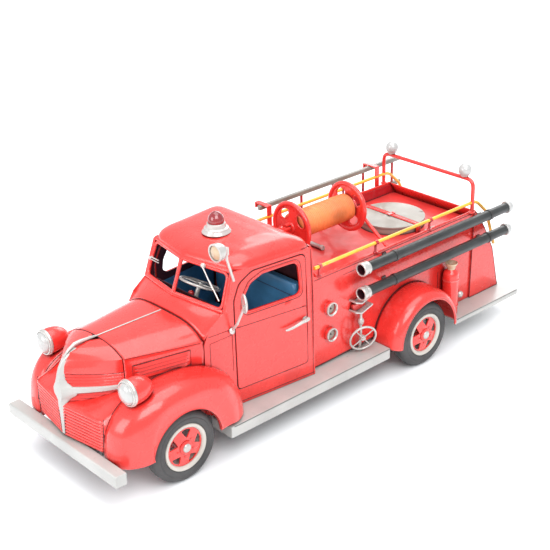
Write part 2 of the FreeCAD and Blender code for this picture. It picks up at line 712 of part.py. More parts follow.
def body_shell():
    half, t = dim("body_half"), dim("sheet")
    outside = side_plate(tail_outline(), -half, half)
    trimmed_outline = [(x, z - 6 if z < 30 else z + 5) for x, z in tail_outline(t)]
    inside = side_plate(trimmed_outline, -half + t, half - t)
    arch = Part.makeCylinder(33, 3 * half, V(dim("rear_arch_x"), -1.5 * half, dim("wheel_radius") - 1),
                             Y_AXIS)
    return outside.cut(inside).cut(arch)


node("body_shell", cleared(shaped(body_shell()), "chassis_frame", smallest=20))
node("bed_deck", box("body_front_x - 1.2 + 166", "2 * body_half - 2 * sheet - 0.2", "sheet",
                     "-166", "sheet + 0.1 - body_half", "deck_top - sheet"))

tail = [(dim("tail_seam_x"), dim("step_top")), (dim("tail_seam_x") - 1.5, 95.5), (-163.5, 95.5),
        (-174.5, 79.0), (-186, 58.0), (-195.3, dim("step_top"))]
tail_panel = shaped(side_plate(tail, dim("body_half"), dim("body_half") + 1.2))
node("tail_panels", pair(tail_panel))


def rear_fender():
    """A half-round fender: level at the body, rounded down to the outer lip."""
    x, radius, t = dim("rear_arch_x"), dim("rear_arch_radius"), dim("sheet")
    z = dim("wheel_radius") - 1.4
    inner, outer = dim("body_half"), dim("rear_fender_outer")

    def drum(r, y0, y1, soft):
        solid = Part.makeCylinder(r, y1 - y0, V(x, y0, z), Y_AXIS)
        edges = [edge for edge in solid.Edges if edge.Closed and edge.CenterOfMass.y > y1 - 0.1]
        return solid.makeFillet(soft, edges)

    outside = drum(radius, inner, outer, 6.0)
    inside = drum(radius - t, inner - 1, outer - t, 5.0)
    arch = Part.makeCylinder(31.0, 20, V(x, outer - 5, z), Y_AXIS)
    below = Part.makeBox(120, 60, 60, V(x - 60, inner - 10, z - 60))
    return outside.cut(inside).cut(arch).cut(below)


node("rear_fenders", pair(shaped(rear_fender())))


# ---------------------------------------------------------------- hose reel

reel_rear = "reel_x - reel_length / 2"


def flange(x):
    web = cut(
        rod("flange_radius - 1.5", "1.6", f"{x} - 0.8", "0", "reel_z", "x"),
        *[rod("4.2", "4", f"{x} - 2", 11.2 * math.cos(math.radians(90 * n + 35)),
              f"reel_z + {11.2 * math.sin(math.radians(90 * n + 35)):.3f}", "x") for n in range(4)])
    return [ring("flange_radius - 2.2", "2.2", x, "0", "reel_z", "x"), web,
            rod("4.2", "5", f"{x} - 2.5", "0", "reel_z", "x")]


reel = fuse(*flange("reel_x + reel_length / 2"), *flange(reel_rear),
            rod("6.0", "reel_length - 1", reel_rear + " + 0.5", "0", "reel_z", "x"),
            rod("1.4", "6.5", "reel_x + reel_length / 2 + 2", "0", "reel_z + 3.0", "x"))
bore = rod("reel_shaft_radius + axle_play", "reel_length + 40", reel_rear + " - 20", "0", "reel_z", "x")
node("hose_reel", cut(reel, bore))
node("hose_winding", cut(
    rod("drum_radius", "reel_length - 4.4", reel_rear + " + 2.2", "0", "reel_z", "x"),
    rod("6.0", "reel_length", reel_rear, "0", "reel_z", "x")))


def reel_stand():
    """The reel's shaft and two splayed stands that straddle it."""
    front = dim("reel_x") + dim("reel_length") / 2 + 10.5
    rear = dim("reel_x") - dim("reel_length") / 2 - 5.5
    axis_z, deck = dim("reel_z"), dim("deck_top")
    shaft = Part.makeCylinder(dim("reel_shaft_radius"), front - rear + 2, V(rear - 1, 0, axis_z), X_AXIS)
    stand = shaft
    for x in (front, rear):
        stand = stand.fuse(Part.makeCylinder(3.4, 2.4, V(x - 1.2, 0, axis_z), X_AXIS))
        for side in (-1, 1):
            foot = V(x, side * 40.0, deck)
            knee = V(x, side * 2.0, axis_z)
            leg = straight_rod(knee, foot + V(0, side * 1.0, -0.7), 1.4)
            stand = stand.fuse(leg)
    below = Part.makeBox(200, 100, 20, V(-120, -50, deck - 20))
    return stand.cut(below)


node("reel_stand", shaped(reel_stand()))


# ---------------------------------------------------------------- tank

node("tank_tub", cut(
    rod("tank_radius - 1", "5", "tank_x", "0", "deck_top"),
    rod("tank_radius - 2", "5", "tank_x", "0", "deck_top + 1")))
lid = rod("tank_radius", "1.4", "tank_x", "0", "deck_top + 5")
gap = box("5", "2 * tank_radius", "3", "tank_x - 2.5", "-tank_radius", "deck_top + 4.5")
node("tank_lids", cut(lid, gap))
strap = fuse(
    box("4.6", "2 * tank_radius + 4", "1.8", "tank_x - 2.3", "-tank_radius - 2", "deck_top + 5"),
    box("4.6", "1.6", "6", "tank_x - 2.3", "tank_radius + 0.6", "deck_top"),
    box("4.6", "1.6", "6", "tank_x - 2.3", "-tank_radius - 2.2", "deck_top"),
    box("7", "3", "2.6", "tank_x - 3.5", "-1.5", "deck_top + 5.2"))
node("tank_strap", cleared(strap, "tank_lids"))


# ---------------------------------------------------------------- rails, hoop, ladder

def rail_bar(radius):
    """The rail's own round bar: level along the bed, then down behind the tail."""
    y, z = dim("rail_y"), dim("rail_z")
    corners = [V(dim("body_front_x") - 3, y, z), V(-162, y, z), V(-176, y, 92.5), V(-187.5, y, 62)]
    return bent_rod(corners, radius, 9.0)


def handrail():
    """A yellow rail along the bed wall on small posts."""
    y, z = dim("rail_y"), dim("rail_z")
    rail = rail_bar(1.3)
    for x in (8.0, -49.0, -108.0):
        rail = rail.fuse(Part.makeCylinder(1.0, z - dim("wall_top") + 0.2, V(x, y - 1.0, dim("wall_top")),
                                           Z_AXIS))
        rail = rail.fuse(Part.makeBox(5, 2.2, 1.2, V(x - 2.5, y - 2.1, dim("wall_top"))))
    return rail


node("handrails", pair(shaped(handrail())))


def rear_hoop():
    """A red hoop over the tail, standing on both bed walls."""
    x, half, top = dim("hoop_x"), dim("hoop_half"), dim("hoop_top")
    low = dim("wall_top")
    hoop = bent_rod([V(x, -half, low), V(x, -half, top), V(x, half, top), V(x, half, low)], 1.6, 6.0)
    for side in (-1, 1):
        hoop = hoop.fuse(Part.makeBox(6, 3.0, 1.4, V(x - 3, side * (half - 0.6) - 1.5, low)))
    passage = rail_bar(1.32)
    return hoop.cut(passage).cut(passage.mirror(V(0, 0, 0), Y_AXIS))


node("rear_hoop", shaped(rear_hoop()))
node("hoop_lamps", pair(fuse(
    ball("lamp_radius", "hoop_x", "37.9", "hoop_top + lamp_radius + 1.4"),
    rod("2.0", "2.4", "hoop_x", "37.9", "hoop_top + 1.55"))))


def ladder():
    """Two side rails on edge with round rungs between them."""
    y, top, low = -53.0, 111.5, 90.5
    front, rear = -24.0, -184.0
    solid = Part.makeBox(front - rear, 3.2, 3.6, V(rear, y - 1.6, top - 1.8))
    solid = solid.fuse(Part.makeBox(front - rear, 3.2, 3.6, V(rear, y - 1.6, low - 1.8)))
    for count in range(5):
        x = front - 10 - 35 * count
        solid = solid.fuse(Part.makeCylinder(1.1, top - low, V(x, y, low), Z_AXIS))
    return solid


node("ladder", shaped(ladder()))


def ladder_brackets():
    """Flat straps from the bed wall that carry the ladder at both ends."""
    pieces = []
    for x in (-18.5 - 12, -150.0):
        foot = Part.makeBox(4.5, 7.6, 1.2, V(x, -51.3, 87.0))
        foot = foot.fuse(Part.makeBox(4.5, 1.2, 9.6, V(x, -46.2, 87.0)))
        arm = Part.makeBox(4.5, 14.6, 1.2, V(x, -59.6, 113.3))
        post = Part.makeBox(4.5, 1.2, 27.5, V(x, -46.2, 87.0))
        outer = Part.makeBox(4.5, 1.2, 4.0, V(x, -59.6, 110.5))
        pieces.append(foot.fuse([arm, post, outer]))
    return Part.makeCompound(pieces)


node("ladder_brackets", cleared(shaped(ladder_brackets()), "handrails", "ladder", "body_shell",
                                "bed_deck", smallest=5))


# ---------------------------------------------------------------- suction hoses and fittings

HOSE_FRONT, HOSE_REAR = -29.5, -187.0
hoses, couplings, clips = [], [], []
for level in ("hose_upper_z", "hose_lower_z"):
    hoses.append(rod("hose_radius", HOSE_FRONT - HOSE_REAR, HOSE_REAR, "hose_y", level, "x"))
    couplings.append(cut(rod("hose_radius + 1.2", "7", HOSE_FRONT, "hose_y", level, "x"),
                         rod("hose_radius - 0.1", "7", HOSE_FRONT + 1.2, "hose_y", level, "x")))
    couplings.append(cone("4.2", "5.0", "5", HOSE_REAR - 5, "hose_y", level, "x"))
    for x in (-60.0, -168.0):
        reach = "body_half" if x > -100 else "body_half + 1.2"
        clips.append(fuse(
            box("4", f"hose_y + 4 - {reach}", "1.0", x, reach, f"{level} - hose_radius - 1.0"),
            box("4", "1.0", "4.4", x, "hose_y + 4.4", f"{level} - hose_radius - 1.0"),
            box("4", "1.0", "5", x, reach, f"{level} - hose_radius - 1.0")))
node("suction_hoses", fuse(*hoses))
node("hose_couplings", fuse(*couplings))
node("hose_clips", fuse(*clips))

node("extinguisher", fuse(
    rod("6.2", "36", "step_front_x - 6.6", "body_half + 6.8", "step_top"),
    cone("6.2", "3.2", "3", "step_front_x - 6.6", "body_half + 6.8", "step_top + 36"),
    cone("3.2", "5.6", "5.5", "step_front_x - 6.6", "body_half + 6.8", "step_top + 39")))


HAND_CENTRE = V(-28.5, 53.0, 38.0)
HAND_NORMAL = V(0.356, 0.907, -0.224).normalize()


def pump_fittings():
    """Gauges, chevron plates, valve stem, drain knob and the reel's nozzle pipe."""
    half = dim("body_half")
    pieces = []
    for z in (69.5, 49.0):
        gauge = turned([(0, 0), (0, 5.2), (4.2, 5.2), (4.2, 3.9), (1.6, 3.9), (1.6, 0)],
                       V(-1.6, half, z), Y_AXIS)
        pieces.append(gauge)
    for z in (68.5, 60.6):
        arms = [(-39.5, z + 0.3), (-28.2, z - 3.2), (-21.6, z - 0.6), (-21.6, z + 0.8),
                (-28.2, z - 1.8), (-39.5, z + 1.7)]
        pieces.append(side_plate(arms, half, half + 7.4))
    elbow = HAND_CENTRE - HAND_NORMAL * 4.0
    foot = V(elbow.x - 0.6, half + 2.4, dim("board_top"))
    stem = straight_rod(V(elbow.x, elbow.y, 58.4), elbow, 1.3)
    stem = stem.fuse([Part.makeSphere(2.0, V(elbow.x, elbow.y, 50.0)), Part.makeSphere(1.6, elbow),
                      straight_rod(elbow, HAND_CENTRE + HAND_NORMAL * 1.4, 0.8),
                      straight_rod(elbow, foot + V(0, 0, 0.4), 1.1),
                      Part.makeCylinder(2.2, 1.6, foot, Z_AXIS)])
    pieces[-1] = pieces[-1].fuse(stem)
    knob = Part.makeSphere(2.6, V(-144.0, half + 3.4, 32.0))
    pieces.append(knob.fuse(Part.makeCylinder(0.9, 3.0, V(-144.0, half, 32.0), Y_AXIS)))
    pieces.append(Part.makeCylinder(1.7, 14, V(-40.0, -13, dim("deck_top") + 1.7), Y_AXIS))
    return Part.makeCompound(pieces)


node("pump_fittings", cleared(shaped(pump_fittings()), "hose_couplings"))

node("hand_wheel", shaped(spoked_ring(HAND_CENTRE, HAND_NORMAL, 10.2, 0.85, 2.4, 0.87, 4, 2.0)))


# ---------------------------------------------------------------- check and write

doc.recompute()
for obj in doc.Objects:
    if "Invalid" in obj.State or "Error" in obj.State:
        raise RuntimeError(f"{obj.Name} ({obj.Label}) did not recompute: {obj.State}")
for obj in NODES:
    if obj.Shape.isNull() or not obj.Shape.isValid() or not obj.Shape.Solids:
        raise RuntimeError(f"{obj.Label} has no valid solid")

os.makedirs("parts", exist_ok=True)
for obj in NODES:
    obj.Shape.exportStep(f"parts/{obj.Label}.step")
print(len(NODES), "nodes written")
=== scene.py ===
import json
from math import asin, atan2, cos, exp, hypot, pi, radians, sin, tan

import bmesh
import bpy
from mathutils import Matrix, Vector, geometry, noise


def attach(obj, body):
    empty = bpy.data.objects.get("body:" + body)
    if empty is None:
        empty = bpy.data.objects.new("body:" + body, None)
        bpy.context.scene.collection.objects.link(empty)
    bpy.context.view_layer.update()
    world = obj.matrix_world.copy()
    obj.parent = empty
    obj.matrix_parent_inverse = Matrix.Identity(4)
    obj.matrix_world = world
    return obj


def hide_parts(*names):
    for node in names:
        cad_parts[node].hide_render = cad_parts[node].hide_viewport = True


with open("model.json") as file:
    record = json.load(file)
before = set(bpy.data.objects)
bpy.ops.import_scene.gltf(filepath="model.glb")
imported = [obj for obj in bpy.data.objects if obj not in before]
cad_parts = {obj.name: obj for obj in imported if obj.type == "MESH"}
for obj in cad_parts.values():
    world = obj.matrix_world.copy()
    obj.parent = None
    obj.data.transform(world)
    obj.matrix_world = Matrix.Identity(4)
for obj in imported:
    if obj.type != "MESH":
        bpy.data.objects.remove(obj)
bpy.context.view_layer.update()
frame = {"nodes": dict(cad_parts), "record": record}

# Lengths below are millimetres, and become metres as each mesh is made.
MM = 0.001
ROOT = "engine"
AX, AY, AZ = Vector((1, 0, 0)), Vector((0, 1, 0)), Vector((0, 0, 1))
SIDES = ((1, "left"), (-1, "right"))


# ---------------------------------------------------------------- materials

def link(tree, a, b):
    tree.links.new(a, b)


def enamel(name, color, dark, bare, rough=0.3, coat=0.5, wear=0.25, corner_shade=0.5, metal=0.0,
           grain=0.25, mottle=0.12, spots=0.0):
    """Sprayed enamel on tin: uneven colour, painted shade darkening corners and recesses, chipped
    edges, soft ripples.
    """
    material = bpy.data.materials.new(name)
    material.use_nodes = True
    tree = material.node_tree
    nodes = tree.nodes
    shader = nodes["Principled BSDF"]
    place = nodes.new("ShaderNodeTexCoord").outputs["Object"]

    def speckle(scale, detail=3.0, roughness=0.55):
        node = nodes.new("ShaderNodeTexNoise")
        node.inputs["Scale"].default_value = scale
        node.inputs["Detail"].default_value = detail
        node.inputs["Roughness"].default_value = roughness
        link(tree, place, node.inputs["Vector"])
        return node.outputs["Fac"]

    def ramp(value, low, high, out_low=0.0, out_high=1.0):
        node = nodes.new("ShaderNodeMapRange")
        node.inputs["From Min"].default_value = low
        node.inputs["From Max"].default_value = high
        node.inputs["To Min"].default_value = out_low
        node.inputs["To Max"].default_value = out_high
        link(tree, value, node.inputs["Value"])
        return node.outputs["Result"]

    def mix(factor, a, b):
        node = nodes.new("ShaderNodeMix")
        node.data_type = "RGBA"
        link(tree, factor, node.inputs["Factor"])
        for value, socket in ((a, node.inputs[6]), (b, node.inputs[7])):
            if hasattr(value, "links"):
                link(tree, value, socket)
            else:
                socket.default_value = (*value, 1)
        return node.outputs[2]

    def product(a, b):
        node = nodes.new("ShaderNodeMath")
        node.operation = "MULTIPLY"
        link(tree, a, node.inputs[0])
        link(tree, b, node.inputs[1])
        return node.outputs[0]

    low = [c * (1 - mottle) for c in color]
    high = [min(1, c * (1 + mottle) + mottle * 0.03) for c in color]
    base = mix(ramp(speckle(38), 0.35, 0.65), low, high)
    if spots:
        base = mix(ramp(speckle(210, 5, 0.7), 0.62, 0.72, 0, spots), base, dark)
    # Painted shade: the colour is pulled towards the dark colour where ambient occlusion finds
    # corners, creases and recesses.
    occlusion = nodes.new("ShaderNodeAmbientOcclusion")
    occlusion.samples = 6
    occlusion.inputs["Distance"].default_value = 0.0035
    shade_mask = ramp(occlusion.outputs["AO"], 0.75, 0.25)
    base = mix(product(shade_mask, ramp(speckle(120), 0.3, 0.6, corner_shade * 0.6, corner_shade)), base, dark)
    shape = nodes.new("ShaderNodeNewGeometry")
    edge = ramp(shape.outputs["Pointiness"], 0.56, 0.64)
    base = mix(product(edge, ramp(speckle(160, 4, 0.65), 0.52, 0.6, 0, wear)), base, bare)
    link(tree, base, shader.inputs["Base Color"])
    link(tree, ramp(speckle(90, 4), 0.3, 0.7, rough * 0.8, rough * 1.25),
         shader.inputs["Roughness"])
    shader.inputs["Metallic"].default_value = metal
    shader.inputs["Coat Weight"].default_value = coat
    shader.inputs["Coat Roughness"].default_value = 0.08
    ripple = nodes.new("ShaderNodeBump")
    ripple.inputs["Strength"].default_value = 0.5
    ripple.inputs["Distance"].default_value = 0.0006
    link(tree, speckle(45, 1.5), ripple.inputs["Height"])
    peel = nodes.new("ShaderNodeBump")
    peel.inputs["Strength"].default_value = grain
    peel.inputs["Distance"].default_value = 0.00012
    link(tree, speckle(900, 2), peel.inputs["Height"])
    link(tree, ripple.outputs["Normal"], peel.inputs["Normal"])
    link(tree, peel.outputs["Normal"], shader.inputs["Normal"])
    return material


RUST = (0.16, 0.05, 0.03)
# Near-black, used only for the painted shade in corners.
SHADE_BLACK = (0.012, 0.010, 0.010)
PRIMER = (0.55, 0.52, 0.50)
RED_TONE = (0.74, 0.033, 0.026)
red = enamel("red_enamel", RED_TONE, (0.075, 0.004, 0.006), PRIMER, 0.27, 0.55, 0.25, 0.85)
deep_red = enamel("deep_red_enamel", (0.42, 0.012, 0.018), SHADE_BLACK, PRIMER, 0.35, 0.3, 0.15, 0.9)
matt_red = enamel("matt_red_enamel", (0.60, 0.034, 0.030), (0.075, 0.004, 0.006), PRIMER, 0.5, 0.12,
                  0.25, 0.85)
silver = enamel("silver_enamel", (0.43, 0.43, 0.41), (0.20, 0.18, 0.15), (0.5, 0.47, 0.4),
                0.34, 0.25, 0.5, 0.55, 0.0, 0.3, 0.07, 0.35)
ring_white = enamel("ring_enamel", (0.52, 0.49, 0.44), (0.16, 0.13, 0.09), (0.3, 0.26, 0.2),
                    0.36, 0.2, 0.3, 0.5)
cream = enamel("cream_enamel", (0.27, 0.25, 0.215), (0.16, 0.13, 0.09), (0.3, 0.26, 0.2),
               0.42, 0.2, 0.6, 0.6, 0.0, 0.3, 0.14, 0.5)
yellow = enamel("yellow_enamel", (0.86, 0.43, 0.035), (0.2, 0.08, 0.01), PRIMER, 0.3, 0.4, 0.5)
black = enamel("black_enamel", (0.022, 0.021, 0.021), (0.01, 0.01, 0.01), (0.2, 0.19, 0.18),
               0.4, 0.2, 0.5)
grey = enamel("ladder_enamel", (0.24, 0.225, 0.20), (0.12, 0.10, 0.08), RUST, 0.42, 0.15, 0.6,
              0.6, 0.0, 0.3, 0.12, 0.4)
bright = enamel("bright_tin", (0.52, 0.505, 0.48), (0.16, 0.12, 0.10), (0.45, 0.40, 0.33), 0.24,
                0.3, 0.5, 0.75, 0.35, 0.3, 0.07, 0.45)
steel = enamel("drawn_steel", (0.42, 0.41, 0.40), SHADE_BLACK, RUST, 0.35, 0.0, 0.3, 0.5, 0.9)
blue = enamel("blue_enamel", (0.06, 0.22, 0.42), (0.01, 0.03, 0.06), (0.5, 0.55, 0.6), 0.36,
              0.4, 0.3, 0.6, 0.0, 0.3, 0.2)
# Very dark maroon: painted shade inside the cab and doors, in the wheel arches and in the hose
# bores.
shade_maroon = enamel("maroon_inside", (0.055, 0.006, 0.012), SHADE_BLACK, RUST, 0.5, 0.1, 0.1)
orange = enamel("orange_winding", (0.72, 0.19, 0.05), (0.22, 0.05, 0.01), (0.9, 0.5, 0.25), 0.55,
                0.1, 0.6, 0.8, 0.0, 0.9, 0.28, 0.55)
bead = enamel("white_bead", (0.46, 0.46, 0.45), (0.35, 0.32, 0.28), (0.6, 0.58, 0.54), 0.16, 0.7,
              0.2, 0.4, 0.1, 0.15, 0.04, 0.2)
amber = enamel("brassy_lens", (0.55, 0.42, 0.27), (0.14, 0.08, 0.04), (0.7, 0.6, 0.4), 0.25, 0.5)
ruby = enamel("ruby_bead", (0.21, 0.012, 0.016), (0.05, 0.004, 0.004), (0.4, 0.1, 0.1), 0.12, 0.9,
              0.1, 0.4, 0.0, 0.1, 0.3)
rubber = enamel("tyre_rubber", (0.052, 0.051, 0.051), (0.02, 0.02, 0.02), (0.16, 0.155, 0.15),
                0.62, 0.0, 0.5, 0.6, 0.0, 0.9, 0.2, 0.35)
hose_skin = enamel("hose_skin", (0.022, 0.025, 0.025), (0.012, 0.012, 0.012), (0.14, 0.145, 0.145),
                   0.42, 0.15, 0.5, 0.5, 0.0, 0.6, 0.25, 0.3)
# Dark line colour: black wash on joints, painted shade in grooves.
wash_and_shade = enamel("seam_wash", (0.055, 0.012, 0.014), SHADE_BLACK, (0.12, 0.03, 0.03), 0.6, 0.0, 0.2)

NODE_PAINT = {
    "red_paint": red, "silver_paint": silver, "cream_paint": cream, "yellow_paint": yellow,
    "black_paint": black, "ladder_grey": grey, "bright_trim": bright, "bare_steel": steel,
    "tyre": rubber, "black_hose": hose_skin, "orange_hose": orange, "seat_blue": blue,
    "dark_interior": shade_maroon, "lens_white": bead, "beacon_red": ruby,
}
node_slot = {row["node"]: row["material_slot"] for row in frame["record"]["subparts"]}
node_body = {}
for body_name, names in frame["record"]["behaviour"]["bodies"].items():
    for node_name in names:
        node_body[node_name] = body_name
for node_name, obj in frame["nodes"].items():
    obj.data.materials.clear()
    obj.data.materials.append(NODE_PAINT[node_slot[node_name]])


# ---------------------------------------------------------------- mesh making

def merged(*parts):
    """Several (points, faces) lists as one."""
    points, faces = [], []
    for more_points, more_faces in parts:
        start = len(points)
        points += more_points
        faces += [[index + start for index in face] for face in more_faces]
    return points, faces


def flipped(part):
    """The same geometry on the vehicle's other side."""
    points, faces = part
    return [Vector((p[0], -p[1], p[2])) for p in points], [list(reversed(f)) for f in faces]


def both(part):
    return merged(part, flipped(part))


def piece(name, part, material, *nodes, bevel=0.0, thick=0.0, smooth=38, subdivide=0, body=None):
    """A mesh object that rides on its node's body. It takes over the nodes named."""
    points, faces = part
    mesh = bpy.data.meshes.new(name)
    mesh.from_pydata([Vector(p) * MM for p in points], [], faces)
    work = bmesh.new()
    work.from_mesh(mesh)
    bmesh.ops.remove_doubles(work, verts=work.verts, dist=2e-6)
    bmesh.ops.dissolve_degenerate(work, edges=work.edges, dist=1e-6)
    bmesh.ops.recalc_face_normals(work, faces=work.faces)
    work.to_mesh(mesh)
    work.free()
    for polygon in mesh.polygons:
        polygon.use_smooth = True
    mesh.set_sharp_from_angle(angle=radians(smooth))
    mesh.materials.append(material)
    obj = bpy.data.objects.new(name, mesh)
    bpy.context.scene.collection.objects.link(obj)
    if thick:
        skin = obj.modifiers.new("sheet", "SOLIDIFY")
        skin.thickness = thick * MM
        skin.offset = -1
    if subdivide:
        fine = obj.modifiers.new("fine", "SUBSURF")
        fine.levels = fine.render_levels = subdivide
    if bevel:
        soft = obj.modifiers.new("soft", "BEVEL")
        soft.width = bevel * MM
        soft.segments = 2
        soft.limit_method = "ANGLE"
        soft.angle_limit = radians(32)
        soft.use_clamp_overlap = True
    home = body or (node_body[nodes[0]] if nodes else ROOT)
    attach(obj, home)
    if nodes:
        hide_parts(*nodes)
    return obj


def stands_for(node_name):
    """Lets a piece made earlier take over a CAD node, beside others that do."""
    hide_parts(node_name)


def grid(rows, around=False, along=False):
    """A skin over rows of points. around closes each row, along joins the last row to the first."""
    width = len(rows[0])
    points = [p for row in rows for p in row]
    faces = []
    for r in range(len(rows) if along else len(rows) - 1):
        below, above = r * width, ((r + 1) % len(rows)) * width
        for c in range(width if around else width - 1):
            d = (c + 1) % width
            faces.append([below + c, below + d, above + d, above + c])
    return points, faces


def capped(rows):
    """A closed tube of rings with flat ends."""
    points, faces = grid(rows, around=True)
    width = len(rows[0])
    faces.append(list(range(width)))
    faces.append(list(range(len(points) - width, len(points))))
    return points, faces


def circle(radius, steps):
    return [(radius * cos(a), radius * sin(a)) for a in
            (2 * pi * n / steps for n in range(steps))]


def ring_of(centre, across, up, radius, steps):
    return [centre + across * (radius * cos(2 * pi * n / steps))
            + up * (radius * sin(2 * pi * n / steps)) for n in range(steps)]


def tube(path, radius, steps=14, closed=False, ends=True):
    """A round bar along a path. radius is one number, or one for each point."""
    path = [Vector(p) for p in path]
    count = len(path)
    radii = radius if isinstance(radius, (list, tuple)) else [radius] * count
    rows = []
    across = None
    for n, point in enumerate(path):
        ahead = path[(n + 1) % count] if closed or n < count - 1 else path[n]
        behind = path[n - 1] if closed or n > 0 else path[n]
        way = (ahead - behind).normalized()
        if across is None:
            across = way.cross(AZ if abs(way.z) < 0.9 else AX).normalized()
        across = (across - way * across.dot(way)).normalized()
        rows.append(ring_of(point, across, way.cross(across), radii[n], steps))
    if closed:
        return grid(rows, around=True, along=True)
    return capped(rows) if ends else grid(rows, around=True)


def lathe(profile, centre, axis, steps=40):
    """A turned form: profile points are (distance along the axis, radius)."""
    centre, axis = Vector(centre), Vector(axis).normalized()
    across = axis.cross(AZ if abs(axis.z) < 0.9 else AX).normalized()
    up = axis.cross(across)
    rows = [ring_of(centre + axis * step, across, up, max(radius, 0.01), steps)
            for step, radius in profile]
    return capped(rows)


def collar(profile, centre, axis, steps=40):
    """A turned form with a hole through it: the profile is a closed loop."""
    centre, axis = Vector(centre), Vector(axis).normalized()
    across = axis.cross(AZ if abs(axis.z) < 0.9 else AX).normalized()
    up = axis.cross(across)
    rows = [ring_of(centre + axis * step, across, up, radius, steps) for step, radius in profile]
    return grid(rows, around=True, along=True)


def block(low, high):
    (x0, y0, z0), (x1, y1, z1) = low, high
    points = [Vector((x, y, z)) for x in (x0, x1) for y in (y0, y1) for z in (z0, z1)]
    return points, [[0, 1, 3, 2], [4, 6, 7, 5], [0, 4, 5, 1], [2, 3, 7, 6], [0, 2, 6, 4],
                    [1, 5, 7, 3]]


def prism(low_ring, high_ring):
    return capped([[Vector(p) for p in low_ring], [Vector(p) for p in high_ring]])


def rounded(corners, radius, steps=5):
    """A closed 2-D outline with its corners rounded. A corner may carry its own radius."""
    out = []
    count = len(corners)
    for n in range(count):
        own = corners[n][2] if len(corners[n]) > 2 else radius
        before, here, after = (Vector(corners[(n + k) % count][:2]) for k in (-1, 0, 1))
        into, away = before - here, after - here
        half = into.angle(away) / 2
        if own < 0.01 or half > 1.5:
            out.append(here)
            continue
        reach = min(own / tan(half), into.length * 0.49, away.length * 0.49)
        start, end = here + into.normalized() * reach, here + away.normalized() * reach
        for k in range(steps + 1):
            t = k / steps
            out.append(start * (1 - t) ** 2 + here * (2 * t * (1 - t)) + end * t ** 2)
    return out


def bent(points, radius, steps=5):
    """An open 3-D path with its corners rounded."""
    points = [Vector(p) for p in points]
    out = [points[0]]
    for before, here, after in zip(points, points[1:], points[2:]):
        into, away = before - here, after - here
        half = into.angle(away) / 2
        reach = min(radius / max(tan(half), 0.05), into.length * 0.49, away.length * 0.49)
        start, end = here + into.normalized() * reach, here + away.normalized() * reach
        for k in range(steps + 1):
            t = k / steps
            out.append(start * (1 - t) ** 2 + here * (2 * t * (1 - t)) + end * t ** 2)
    out.append(points[-1])
    return out


def spline(points, steps=6, closed=False):
    """A smooth path through every point."""
    points = [Vector(p) for p in points]
    count = len(points)
    out = []
    for n in range(count if closed else count - 1):
        if closed:
            a, b, c, d = (points[(n + k) % count] for k in (-1, 0, 1, 2))
        else:
            a, b = points[max(n - 1, 0)], points[n]
            c, d = points[n + 1], points[min(n + 2, count - 1)]
        for k in range(steps):
            t = k / steps
            out.append(0.5 * ((2 * b) + (c - a) * t + (2 * a - 5 * b + 4 * c - d) * t * t
                              + (3 * b - a - 3 * c + d) * t ** 3))
    if not closed:
        out.append(points[-1])
    return out


def plate(outline, holes, depth, place, spacing=0.0):
    """A flat sheet with holes, bent by place(u, v, w). w runs from 0, outside, to depth."""
    flat, edges = [], []
    loops = []
    for loop in [outline, *holes]:
        start = len(flat)
        flat += [Vector(p[:2]) for p in loop]
        ids = list(range(start, start + len(loop)))
        loops.append(ids)
        edges += list(zip(ids, ids[1:] + ids[:1]))
    if spacing:
        us, vs = [p.x for p in flat], [p.y for p in flat]
        u = min(us) + spacing
        while u < max(us):
            v = min(vs) + spacing
            while v < max(vs):
                flat.append(Vector((u, v)))
                v += spacing
            u += spacing
    made = geometry.delaunay_2d_cdt(flat, edges, [], 1, 1e-4)
    spots = made[0]

    def within(spot, loop):
        hits = 0
        for a, b in zip(loop, loop[1:] + loop[:1]):
            if (a[1] > spot.y) != (b[1] > spot.y):
                hits += spot.x < a[0] + (b[0] - a[0]) * (spot.y - a[1]) / (b[1] - a[1])
        return hits % 2 == 1

    triangles = []
    for triangle in made[2]:
        middle = (spots[triangle[0]] + spots[triangle[1]] + spots[triangle[2]]) / 3
        if within(middle, outline) and not any(within(middle, hole) for hole in holes):
            triangles.append(triangle)
    count = len(spots)
    points = [Vector(place(p.x, p.y, 0)) for p in spots]
    points += [Vector(place(p.x, p.y, depth)) for p in spots]
    faces = [list(t) for t in triangles] + [[i + count for i in reversed(t)] for t in triangles]
    used = {}
    for t in triangles:
        ids = list(t)
        for a, b in zip(ids, ids[1:] + ids[:1]):
            used[(a, b)] = True
    for a, b in used:
        if (b, a) not in used:
            faces.append([b, a, a + count, b + count])
    return points, faces


def upright(y):
    """Places a plate in a vertical plane along the vehicle, with its outer face at y."""
    return lambda u, v, w: (u, y - w, v)


def level(z):
    return lambda u, v, w: (u, v, z - w)


seams = {}


def seam(path, body=ROOT, radius=0.28):
    """A thin dark line: black wash along a folded joint, painted shade along a groove."""
    seams.setdefault(body, []).append(tube(path, radius * 0.75, 6))


def seam_both(path, radius=0.28):
    seam(path, ROOT, radius)
    seam([Vector((p[0], -p[1], p[2])) for p in path], ROOT, radius)


# ---------------------------------------------------------------- shared shapes

CAB_REAR, CAB_REAR_HALF, COWL, COWL_HALF = 17.5, 50.3, 109.5, 41.3
AXLES = ((142.5, 60.0, "front"), (-82.5, 67.0, "rear"))
WHEEL_Z = 25.4


def cab_half(x):
    share = (x - CAB_REAR) / (COWL - CAB_REAR)
    return CAB_REAR_HALF + share * (COWL_HALF - CAB_REAR_HALF)


def cab_lean(z):
    """How far the cab's side leans in at a height."""
    return 1.7 * max(0.0, (z - 88) / 36)


def cab_side(out=0.0):
    """Places a plate on the cab's left side, its outer face standing out by a gap."""
    return lambda u, v, w: (u, cab_half(u) - cab_lean(v) + out - w, v)


# ---------------------------------------------------------------- wheels

